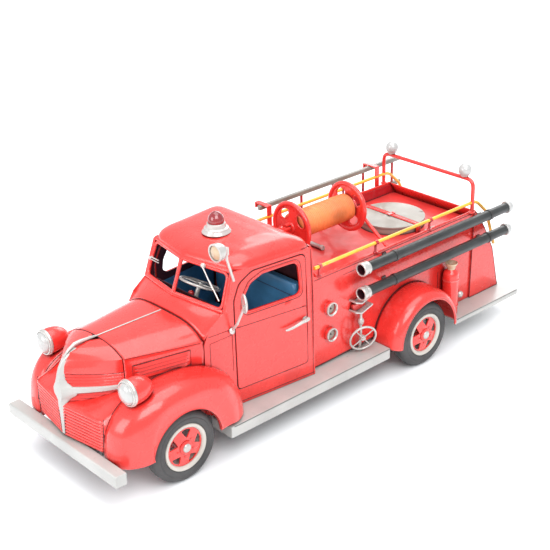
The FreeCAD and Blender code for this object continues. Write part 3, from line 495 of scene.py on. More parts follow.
def wheel(x, face_y, name, side):
    """Tyre with a stepped sidewall, white ring, star disc with five openings, hub and cap."""
    place = f"{name}_{'left' if side > 0 else 'right'}"
    axis = AY * side
    centre = Vector((x, side * face_y, WHEEL_Z))
    profile = [(-13.0, 16.9), (-13.0, 20.5), (-12.4, 22.8), (-11.2, 24.4), (-9.4, 25.2),
               (-8.6, 25.35), (-8.3, 25.0), (-7.9, 25.0), (-7.6, 25.35), (-5.6, 25.4),
               (-5.3, 25.0), (-4.9, 25.0), (-4.6, 25.35), (-3.4, 25.2), (-1.8, 24.4),
               (-0.7, 22.9), (-0.35, 21.6), (-0.5, 21.0), (-0.15, 20.6), (0, 19.4), (-0.2, 18.0),
               (-0.9, 16.9)]
    piece(f"tyre_{place}_rubber", collar(profile, centre, axis, 72), rubber, f"tyre_{place}",
          smooth=30)
    barrel = [(-13.0, 16.75), (-1.0, 16.75), (-0.4, 16.6), (-0.1, 16.1), (-0.5, 14.6),
              (-1.3, 13.9), (-2.6, 13.6), (-12.0, 13.9), (-13.0, 14.6)]
    ring = piece(f"wheel_{place}_ring", collar(barrel, centre, axis, 64), ring_white,
                 f"wheel_{place}", smooth=50)
    hub_ring = rounded(circle(13.7, 40), 0)
    holes = []
    for turn in range(5):
        angle = radians(98 + 72 * turn)
        corners = [(r * cos(angle + d), r * sin(angle + d))
                   for r, d in ((12.5, -0.33), (12.9, 0.0), (12.5, 0.33), (6.7, 0.0))]
        holes.append(rounded(corners, 0.7, 3))

    def dished(u, v, w):
        radius = hypot(u, v)
        sink = 2.1 - 1.3 * exp(-((radius - 7.0) / 4.2) ** 2)
        return centre + Vector((u, 0, v)) - axis * (sink + w)

    disc = piece(f"wheel_{place}_disc", plate(hub_ring, holes, 0.9, dished, 2.2), red, bevel=0.12,
                 body=node_body[f"wheel_{place}"])
    hub = lathe([(-12, 4.9), (-2, 5.0), (-0.6, 4.8), (-0.2, 4.3), (0.0, 3.4), (0.2, 3.3)],
                centre, axis, 32)
    bolts = merged(*[lathe([(-1.6, 0.75), (-0.55, 0.75), (-0.35, 0.5), (-0.3, 0.05)],
                           centre + Vector((6.6 * cos(a), 0, 6.6 * sin(a))), axis, 8)
                     for a in (radians(62 + 72 * n) for n in range(5))])
    hub_piece = piece(f"wheel_{place}_hub", merged(hub, bolts), red,
                      body=node_body[f"wheel_{place}"])
    cap = piece(f"wheel_{place}_cap", lathe([(-0.6, 3.2), (0.4, 3.1), (1.0, 2.7), (1.35, 1.9),
                                             (1.48, 0.8), (1.5, 0.05)], centre, axis, 28), bright,
                body=node_body[f"wheel_{place}"])


for axle_x, face_y, end in AXLES:
    for side, _ in SIDES:
        wheel(axle_x, face_y, end, side)


# ---------------------------------------------------------------- front fenders

FENDER_FOOT = 26.4
FENDER = [(-58, FENDER_FOOT), (-57.4, 34), (-55.2, 43), (-50, 52.5), (-42, 60.2), (-32, 65.8),
          (-20, 69.4), (-6, 70.9), (8, 70.7), (21, 68.6), (32, 64.3), (40.4, 57.8), (45.9, 48.8),
          (47.9, 38), (48.2, 30.5), (47.4, FENDER_FOOT)]


def fender_front():
    x0, inner, outer, soft = 142.5, 38.0, 62.7, 10.5
    crown = spline([(dx, 0, z) for dx, z in FENDER], 4)
    hub = Vector((-4, 0, 38))
    rows = []
    for point in crown:
        row = []
        spans = [(inner, 0.0), (42.0, 0.0), (46.5, 0.0), (50.0, 0.05)]
        for step in range(8):
            turn = radians(90 * step / 7)
            spans.append((outer - soft + soft * sin(turn), soft * (1 - cos(turn))))
        inward = (hub - point).normalized()
        for y, drop in spans:
            share = max(0.0, (y - 42) / (outer - 42))
            spot = point + inward * drop
            squeeze = 1 - (0.27 * share ** 2.2 if spot.x > 0 else 0.20 * share ** 2.0)
            row.append(Vector((x0 + spot.x * (1 + (squeeze - 1) * min(1, abs(spot.x) / 30)),
                               y, max(spot.z, FENDER_FOOT))))
        # From the rounded shoulder the side runs to the wheel arch, whose lip turns in.
        shoulder = row[-1]
        way = Vector((shoulder.x - x0, 0, shoulder.z - WHEEL_Z))
        angle = atan2(way.z, way.x)
        ring_point = Vector((x0 + 28.2 * cos(angle), outer - 0.1, WHEEL_Z + 28.2 * sin(angle)))
        ring_point.z = max(ring_point.z, FENDER_FOOT)
        for step in range(1, 6):
            row.append(shoulder.lerp(ring_point, step / 5) - AY * (0.4 * sin(step / 5 * 3.14)))
        for curl, y in ((0.3, 0.25), (0.6, -0.6), (0.5, -2.4)):
            row.append(ring_point + Vector((-cos(angle) * curl, y, -sin(angle) * curl)))
        rows.append(row)
    return rows


fender_rows = fender_front()
fender_skirt = grid([[row[0] + Vector((0, 0.02, -0.2)),
                      Vector((min(max(row[0].x, 104), 189.6), 37.4, min(row[0].z, 57) - 1)),
                      Vector((min(max(row[0].x, 104), 189.6), 37.2,
                              27))] for row in fender_rows[6:-4]])
piece("front_fender_skirts", both(fender_skirt), red, thick=0.5)
for side, name in SIDES:
    skin = grid(fender_rows)
    piece(f"front_fender_{name}_panel", skin if side > 0 else flipped(skin), red,
          f"front_fender_{name}", thick=0.9, smooth=60)
seam_both([row[0] + Vector((0, -0.15, 0.12)) for row in fender_rows[4:52]], 0.24)
seam_both([row[-3] + Vector((0, 0.12, 0)) for row in fender_rows[2:-2]], 0.2)


# ---------------------------------------------------------------- hood and nose

HOOD_TOP, SEAM_X, CATWALK = 92.4, 164.0, 66.8


def hood_edge(x):
    """How far back along the hood, its half width there, and the height of its crease."""
    t = (SEAM_X - x) / (SEAM_X - COWL)
    return t, 27.5 + 13.2 * t, 86.3 - 3.6 * t


def hood_point(x, share, lift=0.0):
    """A point on the hood's crown. share runs from -1 to 1 across it."""
    t, half, crease = hood_edge(x)
    z = HOOD_TOP - (HOOD_TOP - crease) * abs(share) ** (2.6 + 1.8 * t)
    return Vector((x, share * half, z + lift))


def hood_side(x, z, out=0.0):
    _, half, crease = hood_edge(x)
    bulge = 0.7 * sin(pi * min(1, max(0, (z - CATWALK) / (crease - CATWALK))))
    return Vector((x, half + bulge + out, z))


def hood_rows():
    rows = []
    for n in range(29):
        x = SEAM_X - 0.3 - (SEAM_X - COWL - 0.6) * n / 28
        _, half, crease = hood_edge(x)
        left = [hood_side(x, CATWALK - 1 + (crease - 0.9 - CATWALK + 1) * k / 8) for k in range(9)]
        # The crease itself is a small rolled step.
        left += [Vector((x, half + 0.45, crease - 0.35)), Vector((x, half + 0.1, crease + 0.15))]
        top = [hood_point(x, share) for share in (0.965, 0.92, 0.85, 0.75, 0.62, 0.48, 0.32, 0.16)]
        right = [Vector((p.x, -p.y, p.z)) for p in reversed(left + top)]
        rows.append(left + top + [hood_point(x, 0)] + right)
    return rows


piece("hood_panel", grid(hood_rows()), red, "hood", thick=0.9, smooth=50)
seam_both([hood_point(x, 1.0, 0.0) + Vector((0, 0.35, -0.25)) for x in range(112, 164, 3)], 0.22)
seam([hood_point(163.9, k / 12, 0.05) for k in range(-12, 13)])
seam([hood_point(110.2, k / 12, 0.05) for k in range(-12, 13)])


def louvre_panel(x0, x1, z0, z1, count, surface):
    """A framed panel of pressed ribs that follows surface(x, z, out)."""
    rows = []
    columns = 25
    for k in range(columns):
        x = x0 + (x1 - x0) * k / (columns - 1)
        row = []
        for n in range(count * 6 + 1):
            z = z0 + (z1 - z0) * n / (count * 6)
            phase = (n % 6) / 6 if n < count * 6 else 0.0
            ends = min(1.0, k / 2, (columns - 1 - k) / 2)
            row.append(surface(x, z, 0.15 + 1.0 * ends * (1 - phase) * (phase > 0 or n == 0)))
        rows.append(row)
    return grid(rows)


side_ribs = louvre_panel(120, 157.5, 69.6, 79.4, 4, hood_side)
piece("hood_louvres", both(side_ribs), red, body=ROOT, smooth=24)
frame_path = [hood_side(x, z, 0.35) for x, z in
              [(119, 69), (119, 80), (158.5, 80), (158.5, 69)]]
frame_path = frame_path + frame_path[:1]
seam_both(frame_path, 0.26)
# Dark lines in the grooves between the ribs: painted shade.
for level_z in (72.0, 74.5, 77.0):
    seam_both([hood_side(x, level_z + 0.1, 0.3) for x in range(121, 158, 6)], 0.17)


def nose_front(z):
    """How far forward the nose reaches at a height."""
    return spline_value([(56, 194.6), (62, 195.4), (68, 195.6), (73, 194.9), (78, 193.9),
                         (82, 192.5), (86, 189.8), (89, 186.0), (91, 180.5), (92.4, 170)], z)


def nose_side(z):
    if z < 83.5:
        return 27.6 + 0.5 * sin(pi * (83.5 - z) / 27.5)
    if z < 86.3:
        return 27.6
    return max(1.0, 27.5 * ((HOOD_TOP - z) / (HOOD_TOP - 86.3)) ** (1 / 2.5))


def spline_value(table, value):
    """A smooth reading from a short list of (value, result) pairs."""
    for (a, first), (b, second) in zip(table, table[1:]):
        if value <= b:
            t = max(0.0, (value - a) / (b - a))
            return first + (second - first) * t
    return table[-1][1]


def nose_curve(z, t):
    reach, half = nose_front(z) - SEAM_X, nose_side(z)
    share = sin(min(1.0, t) * pi / 2) ** 1.06
    return Vector((SEAM_X + 0.3 + reach * (1 - share ** 1.14) ** 0.8, half * share, z))


def nose_point(z, t, out=0.0):
    """A point on the nose at a height. t runs from 0 at the centre line to 1 at the seam."""
    way = nose_curve(z, t + 0.01) - nose_curve(z, max(0.0, t - 0.01))
    return nose_curve(z, t) + Vector((way.y, -way.x, 0)).normalized() * out


def nose_rows():
    heights = []
    z = 55.5
    while z < 92.25:
        heights.append(z)
        z += 0.42 if z < 78 else (0.9 if z < 90 else 0.45)
    heights.append(92.35)
    rows = []
    for z in heights:
        row = []
        for k in range(-30, 31):
            t = abs(k) / 30
            ribbed = 1.0 if (56 < z < 77.2) else 0.0
            phase = ((z - 56.0) % 2.1) / 2.1
            ends = min(1.0, max(0.0, (t - 0.05) / 0.03), max(0.0, (0.95 - t) / 0.03))
            depth = 0.95 * ribbed * ends * (phase ** 1.4)
            spot = nose_point(z, t, -depth)
            row.append(Vector((spot.x, spot.y * (1 if k >= 0 else -1), z)))
        rows.append(row)
    return rows


piece("nose_cap_panel", grid(nose_rows()), red, "nose_cap", thick=0.8, smooth=32)
seam_both([nose_point(77.4, k / 20, 0.02) for k in range(2, 20)], 0.16)

# Bright spear: up the middle of the nose from the grille's foot to the hood bead.
spear_line = []
for z, half in ((33.5, 1.4), (40, 1.7), (46, 2.1), (51, 2.6), (55, 3.3), (58, 4.4), (60.5, 6.6),
                (62.5, 9.2), (64.5, 10.2), (67, 9.4), (69.2, 7.0), (71, 4.9), (73.5, 3.6),
                (77, 3.0), (81, 2.5), (85, 2.1), (88, 1.8), (90.8, 1.6)):
    front = 196.0 if z < 56 else nose_curve(z, 0).x + 0.5
    spear_line.append((front, half, z))
rows = []
for front, half, z in spear_line:
    bow = 0.9 * min(1.0, half / 4)
    slope = 0.72 * half if z > 56 else 0.3 * half
    rows.append([Vector((front - slope - 0.9, -half, z)), Vector((front - slope, -half, z)),
                 Vector((front + bow * 0.6, -half * 0.45, z)), Vector((front + bow, 0, z)),
                 Vector((front + bow * 0.6, half * 0.45, z)), Vector((front - slope, half, z)),
                 Vector((front - slope - 0.9, half, z))])
spear = capped(rows)


def wing():
    """A tapering bar that sweeps back round the nose to the headlight."""
    rows = []
    for k in range(25):
        t = 0.16 + 0.82 * k / 24
        z = 66.3 + 2.0 * k / 24
        w = 2.5 - 1.4 * k / 24
        outer, inner = nose_point(z, t, 1.25), nose_point(z, t, -0.1)
        rows.append([inner + AZ * w, outer + AZ * (w * 0.8), outer - AZ * (w * 0.8),
                     inner - AZ * w])
    return capped(rows)


piece("nose_trim_spear", merged(spear, wing(), flipped(wing())), silver, "nose_trim", bevel=0.3,
      smooth=40)
strip = [Vector((x, 0, HOOD_TOP + 0.3)) for x in range(112, 166, 4)]
ornament = merged(
    tube(strip, 0.55, 10),
    tube([(163, 0, 92.6), (168, 0, 93.1), (176, 0, 93.5), (181, 0, 93.2), (185.5, 0, 90.9),
          (189.5, 0, 87.4)], [0.6, 1.0, 1.2, 1.2, 1.0, 0.6], 14))
piece("hood_strip_bead", ornament, bright, "hood_strip")
seam_both([nose_point(z, 0.045, 0.1) for z in (70, 74, 78, 82, 86)], 0.22)


# ---------------------------------------------------------------- grille apron

BAR_FOOT, BAR_PITCH = 32.4, 2.3


def apron_profile():
    """Side view from the lower edge, over pressed bars, then back as a smooth slope."""
    line = []
    bars, z0, pitch = 10, BAR_FOOT, BAR_PITCH
    line.append((195.0, 31.5))
    for bar in range(bars):
        base = z0 + bar * pitch
        for k in range(6):
            turn = pi * k / 6
            line.append((195.1 + 0.95 * sin(turn), base + pitch * (1 - cos(turn)) / 2))
    line += [(195.2, z0 + bars * pitch + 0.2)]
    slope = spline([(195.1, 0, 55.4), (193.4, 0, 56.2), (189, 0, 57.6), (181, 0, 60.2),
                    (171, 0, 63.8), (160, 0, 66.7), (130, 0, 66.9), (111, 0, 66.9)], 4)
    return line, [(p.x, p.z) for p in slope]


def swept(x, y):
    """The front's shallow V: how far back it stands away from the centre line."""
    return x - 0.155 * abs(y) * min(1.0, max(0.0, (x - 165) / 20))


bar_line, slope_line = apron_profile()
rows = []
for k in range(-20, 21):
    share = k / 20
    row = []
    for x, z in bar_line:
        half = 36.2 + (z - 31.5) * 0.16
        inset = 0.9 if abs(k) == 20 or k == 0 else 0.0
        y = share * min(half, 37.9)
        row.append(Vector((swept(min(x, 195.1) if inset else x, y), y, z)))
    for x, z in slope_line:
        valley = 1.2 * exp(-((abs(share) - 0.95) / 0.25) ** 2) * (1 if x > 165 else 0)
        row.append(Vector((swept(x, share * 37.9), share * 37.9, z + 0.6 - valley)))
    rows.append(row)
piece("grille_apron_panel", grid(rows), red, "grille_apron", thick=0.8, smooth=34)
apron_cheek = grid([[Vector((swept(x, 37.9), 38.05, z + 0.4)),
                     Vector((swept(x, 37.9), 38.05, max(31.5, 31.5 + (178 - x) * 0.7)))]
                    for x, z in slope_line if x > 152])
piece("grille_apron_cheeks", both(apron_cheek), red, thick=0.4)
# Dark lines in the grooves between the bars: painted shade.
for bar in range(11):
    z = BAR_FOOT + bar * BAR_PITCH
    edge = min(37.6, 35.4 + (z - 31.5) * 0.16)
    seam_both([(swept(195.25, 2.2), 2.2, z), (swept(195.25, edge), edge, z)], 0.15)
seam_both([(swept(x, y), y, z) for x, y, z in
           ((195.5, 36.4, 32.0), (195.6, 37.2, 42), (195.3, 37.8, 50), (194.6, 37.9, 57.5))], 0.3)
seam_both([(195.6, 2.0, 34), (195.5, 2.6, 44), (195.2, 4.4, 50)], 0.3)


# ---------------------------------------------------------------- headlights

for side, name in SIDES:
    centre = Vector((175, side * 46.8, 74.3))
    pod = lathe([(-17.9, 0.05), (-17.6, 2.0), (-16.6, 3.9), (-14.6, 5.9), (-11.8, 7.5),
                 (-8.4, 8.5), (-5, 8.85), (-2.4, 8.8), (-1, 8.75), (-0.6, 8.5)], centre, AX, 44)
    foot = lathe([(0, 4.6), (1.0, 3.6), (3, 2.7), (7, 2.4), (9, 2.6)],
                 centre + Vector((-8, 0, -15.4)), AZ, 24)
    piece(f"headlight_{name}_pod", merged(pod, foot), red)
    rim = lathe([(-1.0, 8.6), (-0.9, 9.15), (0.0, 9.2), (0.5, 9.0), (0.7, 8.6), (1.3, 8.7),
                 (1.7, 8.4), (1.75, 7.7), (1.2, 7.5)], centre, AX, 48)
    piece(f"headlight_{name}_rim", rim, bright)
    dome = lathe([(1.0, 7.6), (1.9, 7.3), (3.0, 6.5), (3.9, 5.2), (4.5, 3.6), (4.8, 1.8),
                  (4.88, 0.05)], centre, AX, 44)
    piece(f"headlight_{name}_lens", dome, bead)
    seam(ring_of(centre + AX * -1.1, AY, AZ, 8.8, 40) + [centre + Vector((-1.1, 8.8, 0))], ROOT,
         0.25)
for label in ("pod", "rim", "lens"):
    node_name = {"pod": "headlight_shells", "rim": "headlight_rims",
                 "lens": "headlight_lenses"}[label]
    for _, name in SIDES:
        stands_for(node_name)


# ---------------------------------------------------------------- cab

def door_loop(gap):
    """The door's outline, grown by a gap."""
    return rounded([(24.5 - gap, 38 - gap, 3), (84 + gap, 38 - gap, 3), (84 + gap, 104, 10),
                    (79 + gap, 115 + gap, 10), (68, 121 + gap, 10), (24.5 - gap, 121 + gap, 5)],
                   3, 6)


WINDOW = rounded([(29.5, 93.0, 5), (73, 93.6, 3), (77, 96.8, 3), (76, 104.5, 8), (70.5, 113, 8),
                  (60, 117.0, 8), (31, 117.0, 6)], 4, 6)
SIDE_OUTLINE = rounded([(17.6, 25.8, 0.5), (106.5, 25.8, 0.5), (109.2, 30, 2), (109.2, 80, 3),
                        (104.5, 90.5, 4), (91.2, 99.0, 3), (82.6, 124.4, 2), (18.6, 124.4, 3)], 1,
                        4)

cab_sheet = plate(SIDE_OUTLINE, [door_loop(0.6)], 1.0, cab_side(0.0), 6.0)

# The back wall and the front bulkhead behind the hood.
back_wall = plate(rounded([(-50.1, 25.8, 1), (50.1, 25.8, 1), (50.2, 88, 2), (48.6, 124.4, 4),
                           (-48.6, 124.4, 4), (-50.2, 88, 2)], 1, 4), [], 1.0,
                  lambda u, v, w: (CAB_REAR + 0.1 + w, u, v), 8.0)
front_wall = plate(rounded([(-41.0, 25.8, 1), (41.0, 25.8, 1), (41.0, 80, 2), (39, 84, 4),
                            (-39, 84, 4), (-41, 80, 2)], 1, 3), [], 1.0,
                   lambda u, v, w: (109.0 - 0.0009 * u * u - w, u, v), 8.0)


def cowl_rows():
    """The scuttle: from the hood's rear seam up to the foot of the windscreen."""
    rows = []
    for k in range(-24, 25):
        share = k / 24
        bend = abs(share) ** 2.6
        start = hood_point(109.8, share)
        start.x = 109.6 - 0.4 * bend
        end = Vector((101.6 - 10.2 * abs(share) ** 1.5, share * 42.0,
                      100.6 - 2.6 * abs(share) ** 1.5))
        row = []
        for n in range(9):
            t = n / 8
            lift = 1.6 * sin(pi * t) * (1 - bend * 0.4)
            spot = start.lerp(end, t) + Vector((0.8, 0, 0.5)) * lift
            if abs(k) == 24:
                # The outer edges close onto the cab's sides.
                x = 109.2 - 18.0 * t
                z = 84 + 6.5 * t / 0.27 if t < 0.27 else 90.5 + 8.6 * (t - 0.27) / 0.73
                spot = Vector((x, share * (cab_half(x) - cab_lean(z) - 0.2), z))
            row.append(spot)
        rows.append(row)
    return rows


scuttle = grid(cowl_rows())
piece("cab_sides", both(cab_sheet), red, "cab_shell", bevel=0.25)
piece("cab_back", merged(back_wall, front_wall), red, bevel=0.25)
piece("cab_scuttle", scuttle, red, thick=0.8, smooth=50)


def roof_loop(inset, z, steps=12):
    """A rounded plan outline of the roof at a height, drawn in by an inset."""
    rear, front = 18.2 + inset, 83.4 - inset * 1.2
    rear_half, front_half = 48.9 - inset, 42.9 - inset
    corners = [(rear, -rear_half, 9), (front, -front_half, 17), (front + 8.6, 0, 20),
               (front, front_half, 17), (rear, rear_half, 9)]
    loop = rounded([(c[0], c[1], max(3.0, c[2] - inset * 0.35)) for c in corners], 8, steps)
    return [Vector((p.x, p.y, z)) for p in loop]


def drip_loop(inset, z):
    """The roof's edge: a rolled drip at the sides and rear that fades out at the front."""
    return [p.lerp(q, min(1.0, max(0.0, (p.x - 56) / 18)))
            for p, q in zip(roof_loop(inset, z), roof_loop(0.3, z))]


def roof_rows():
    rows = [drip_loop(inset, z) for inset, z in
            ((1.0, 123.4), (0.1, 123.3), (-0.45, 123.7), (-0.5, 124.3), (-0.1, 124.8),
             (0.3, 124.95))]
    for n in range(1, 13):
        turn = radians(90 * n / 12)
        rows.append(roof_loop(0.3 + 17.0 * (1 - cos(turn)) ** 1.1, 125.0 + 8.1 * sin(turn)))
    for inset, z in ((20, 133.5), (23, 133.75), (25, 133.9)):
        rows.append(roof_loop(inset, z))
    return rows


roof = grid(roof_rows(), around=True)
last = len(roof[0]) - len(roof_loop(0, 0))
roof[1].append(list(range(last, len(roof[0]))))
piece("cab_roof_dome", roof, red, "cab_roof", smooth=60)
drip = roof_loop(-0.35, 125.0)
middle = len(drip) // 2
seam([p for p in drip[middle:] if p.x < 70] + [p for p in drip[:middle] if p.x < 70], ROOT, 0.26)

# Windscreen: a rounded frame for each pane, with a post between them.
SCREEN = {"low_mid": (100.8, 0.0, 101.8), "low_end": (92.2, 40.0, 99.4),
          "top_end": (83.6, 38.4, 122.4), "top_mid": (92.0, 0.0, 124.0)}


def screen_frame():
    corners = [Vector(SCREEN[k]) for k in ("low_mid", "low_end", "top_end", "top_mid")]
    loop = []
    for n in range(4):
        before, here, after = corners[n - 1], corners[n], corners[(n + 1) % 4]
        reach = 4.6 if n in (1, 2) else 1.0
        start = here + (before - here).normalized() * reach
        end = here + (after - here).normalized() * reach
        for k in range(7):
            t = k / 6
            loop.append(start * (1 - t) ** 2 + here * (2 * t * (1 - t)) + end * t ** 2)
    return tube(loop, 1.15, 12, closed=True)


post = tube([(101.0, 0, 101.2), (96.7, 0, 112), (92.2, 0, 124.0)], [1.5, 1.3, 1.5], 12)
surround = []
for side in (1, -1):
    pillar = [Vector((91.6, side * 42.0, 98.0)), Vector((87.6, side * 41.4, 110)),
              Vector((82.9, side * 40.6, 123.6))]
    surround.append(tube(pillar, [1.5, 1.4, 1.5], 12))
header = tube([(82.6, -39.5, 123.8), (87.4, -20, 124.6), (91.2, 0, 124.9), (87.4, 20, 124.6),
               (82.6, 39.5, 123.8)], 1.4, 12)
sill = tube([(92.0, -41.4, 98.4), (97.2, -20, 99.8), (101.2, 0, 100.6), (97.2, 20, 99.8),
             (92.0, 41.4, 98.4)], 1.5, 12)
piece("windshield_frames", merged(screen_frame(), flipped(screen_frame()), post, header, sill,
                                  *surround), red, "windshield_frame", smooth=60)

# Painted shade inside the cab: dark sheets over the sides, back wall and ceiling.
side_shade_sheet = plate(rounded([(19.5, 32, 2), (103, 32, 2), (102, 84, 3), (89, 95, 3),
                             (82, 123.4, 2), (19.8, 123.4, 3)], 1, 4),
                    [door_loop(0.9)], 0.25, cab_side(-1.08), 8.0)
back_shade_sheet = plate(rounded([(-46.6, 32, 2), (46.6, 32, 2), (46.6, 123.2, 4), (-46.6, 123.2, 4)],
                            2, 4), [], 0.25, lambda u, v, w: (CAB_REAR + 1.3 + w, u, v), 0)
ceiling = plate([(p.x, p.y) for p in roof_loop(2.6, 0)], [], 0.25, level(123.9), 0)
piece("cab_shade_sheets", merged(both(side_shade_sheet), back_shade_sheet, ceiling), shade_maroon)


# ---------------------------------------------------------------- doors

def door_place(u, v, w):
    return (u, cab_half(u) - cab_lean(v) + 0.5 - w, v)


door_skin = plate(door_loop(0), [WINDOW], 1.5, door_place, 5.0)
y_grip = cab_half(33) + 0.5
handle = merged(
    lathe([(-0.6, 2.4), (0.4, 2.3), (0.9, 1.5), (2.4, 1.3), (3.0, 1.2)], (26.5, y_grip, 72.2), AY,
          20),
    tube(spline([(24.6, y_grip + 2.3, 73.3), (27, y_grip + 3.0, 72.9), (32, y_grip + 2.9, 72.6),
                 (38, y_grip + 2.4, 71.4), (43.5, y_grip + 1.9, 70.9), (45.8, y_grip + 1.6, 71.2)],
                 5),
         [1.0, 1.35, 1.5, 1.5, 1.45, 1.4, 1.35, 1.3, 1.25, 1.2, 1.2, 1.2, 1.15, 1.1, 1.05, 1.0, 1.0,
          1.0, 0.95, 0.9, 0.85, 0.8, 0.75, 0.7, 0.65, 0.5], 12))
window_bead = [Vector(door_place(p.x, p.y, 0.0)) for p in
               rounded([(28.2, 91.8, 6), (74, 92.2, 4), (78.4, 96.2, 4), (77.3, 105, 9),
                        (71.2, 114.2, 9), (60.2, 118.4, 9), (29.8, 118.4, 7)], 4, 6)]
for side, name in SIDES:
    turn = (lambda part: part) if side > 0 else flipped
    body = f"{name}_door"
    piece(f"door_{name}_skin", turn(door_skin), red, f"door_{name}", bevel=0.3)
    rim = piece(f"door_{name}_window_bead", turn(tube(window_bead, 0.55, 8, closed=True)), red,
                body=body, smooth=60)
    card = plate(rounded([(27, 41, 3), (80, 41, 3), (80, 88, 3), (27, 89, 3)], 3),
                 [], 0.7, lambda u, v, w: (u, cab_half(u) - cab_lean(v) - 1.28 - w * 0.6, v), 0)
    piece(f"door_{name}_card", turn(card), blue, body=body, bevel=0.2)
    # A dark sheet inside the door: painted shade.
    shade_lining = plate(door_loop(-1.0), [WINDOW], 0.2, lambda u, v, w: door_place(u, v, w + 1.55), 6.0)
    piece(f"door_{name}_lining", turn(shade_lining), shade_maroon, body=body)
    grip = piece(f"door_{name}_handle", turn(handle), bright, body=body, smooth=50)
    marks = [[(x, cab_half(x) + 0.56, 84.6 - (84 - x) * 0.035) for x in (25.2, 45, 65, 83.4)]]
    marks.append([Vector(door_place(p.x, p.y, -0.05)) for p in
                  rounded([(27.4, 90.9, 6), (75, 91.2, 4), (79.6, 95.6, 4), (78.4, 105.5, 9),
                           (72, 115.2, 9), (60.4, 119.5, 9), (28.9, 119.5, 7)], 4, 5)])
    marks[-1] = marks[-1] + marks[-1][:1]
    for path in marks:
        seam([Vector((p[0], side * p[1], p[2])) for p in path], body, 0.24)

# Black wash round the doorways, and the folded outlines on the cowl's sides.
seam_both([Vector(cab_side(0.05)(p.x, p.y, 0)) for p in door_loop(0.5)]
          + [Vector(cab_side(0.05)(*door_loop(0.5)[0], 0))], 0.3)
seam_both([Vector(cab_side(0.1)(u, v, 0)) for u, v in
           ((87.0, 53), (87.0, 80.6), (104.8, 79.6), (104.8, 53))], 0.2)
seam_both([Vector(cab_side(0.1)(x, 84.8, 0)) for x in (85.5, 92, 100, 106)], 0.2)
seam_both([(109.4, 40.3, 66), (109.4, 40.5, 74), (109.3, 40.2, 81)], 0.25)
seam_both([Vector(cab_side(0.1)(x, 27.6, 0)) for x in (18.4, 40, 60, 84)], 0.24)
seam_both([Vector(cab_side(0.12)(19.4, z, 0)) for z in range(27, 124, 8)], 0.2)


# ---------------------------------------------------------------- cab interior

def cushion(low, high, radius):
    """A padded block with a crowned face and drawn-in edges."""
    (x0, y0, z0), (x1, y1, z1) = low, high
    rows = []
    for n in range(9):
        turn = pi * n / 8 - pi / 2
        grow = radius * cos(turn)
        z = (z0 + z1) / 2 + ((z1 - z0) / 2) * sin(turn)
        ring = rounded([(x0 + radius - grow, y0 + radius - grow),
                        (x1 - radius + grow, y0 + radius - grow),
                        (x1 - radius + grow, y1 - radius + grow),
                        (x0 + radius - grow, y1 - radius + grow)], 3.0, 4)
        rows.append([Vector((p.x, p.y, z)) for p in ring])
    return capped(rows)


bench = cushion((30.5, -43.5, 46), (56.5, 43.5, 56.5), 2.2)
back_rest = cushion((20.0, -43.5, 55), (29.5, 43.5, 96.5), 2.4)
bench_box = block((29.5, -43, 32.0), (55, 43, 46))
piece("seat_bench", merged(bench, back_rest, bench_box), blue, "seat", bevel=0.4)
for y in (-22, 0, 22):
    seam([(57.0, y, 48), (56.3, y, 55.5), (50, y, 56.75), (33, y, 56.75)], ROOT, 0.2)
seam([(29.8, y, 88.5) for y in (-42, -20, 0, 20, 42)], ROOT, 0.22)

wheel_centre = Vector((80, 3, 102))
column_way = Vector((-0.45, 0, 0.893)).normalized()


def spoked(centre, normal, radius, rim, hub, spokes, turn=0.0, hub_depth=1.4, spoke=0.55):
    across = normal.cross(AY if abs(normal.y) < 0.8 else AX).normalized()
    up = normal.cross(across)
    ring = tube(ring_of(centre, across, up, radius, 44), rim, 12, closed=True)
    middle = collar([(-hub_depth, 0.95), (-hub_depth, hub), (-hub_depth * 0.3, hub * 1.05),
                     (hub_depth, hub * 0.8), (hub_depth, 0.95)], centre, normal, 24)
    arms = []
    for n in range(spokes):
        angle = turn + 2 * pi * n / spokes
        out = across * cos(angle) + up * sin(angle)
        arms.append(tube([centre + out * (hub * 0.8), centre + out * (radius * 0.55) + normal * 0.3,
                          centre + out * (radius - 0.1)], [spoke * 1.15, spoke, spoke], 10))
    return merged(ring, middle, *arms)


piece("steering_wheel_ring", spoked(wheel_centre, column_way, 14.0, 0.95, 2.3, 4, 0.4, 1.3), bright,
      "steering_wheel", smooth=60)
lever = merged(tube([(82, -5, 31.7), (82.1, -5, 60), (82, -5, 91.5)], 1.0, 10),
               lathe([(-2.6, 0.9), (-1.6, 1.8), (0, 2.2), (1.4, 1.7), (1.9, 0.8), (2.0, 0.05)],
                     (82, -5, 93), AZ, 24))
piece("gear_lever_rod", lever, red, "gear_lever", smooth=60)


# ---------------------------------------------------------------- roof and screen fittings

base_profile = [(0, 10.1), (0.5, 10.2), (1.1, 9.9), (2.0, 8.9), (2.8, 8.6), (3.3, 8.5), (3.5, 8.0),
                (3.9, 7.0), (5.2, 6.7), (6.6, 6.5), (6.85, 6.2), (6.9, 5.3)]
piece("beacon_base_cone", lathe(base_profile, (61, 0, 134.02), AZ, 56), bright, "beacon_base",
      smooth=35)
dome = [(0, 5.55), (1.2, 5.75), (2.6, 5.6), (4.4, 5.0), (6.0, 3.9), (7.1, 2.7), (7.8, 1.4),
        (8.05, 0.05)]
piece("beacon_dome", lathe(dome, (61, 0, 140.9), AZ, 44), ruby, "beacon_lens", smooth=60)

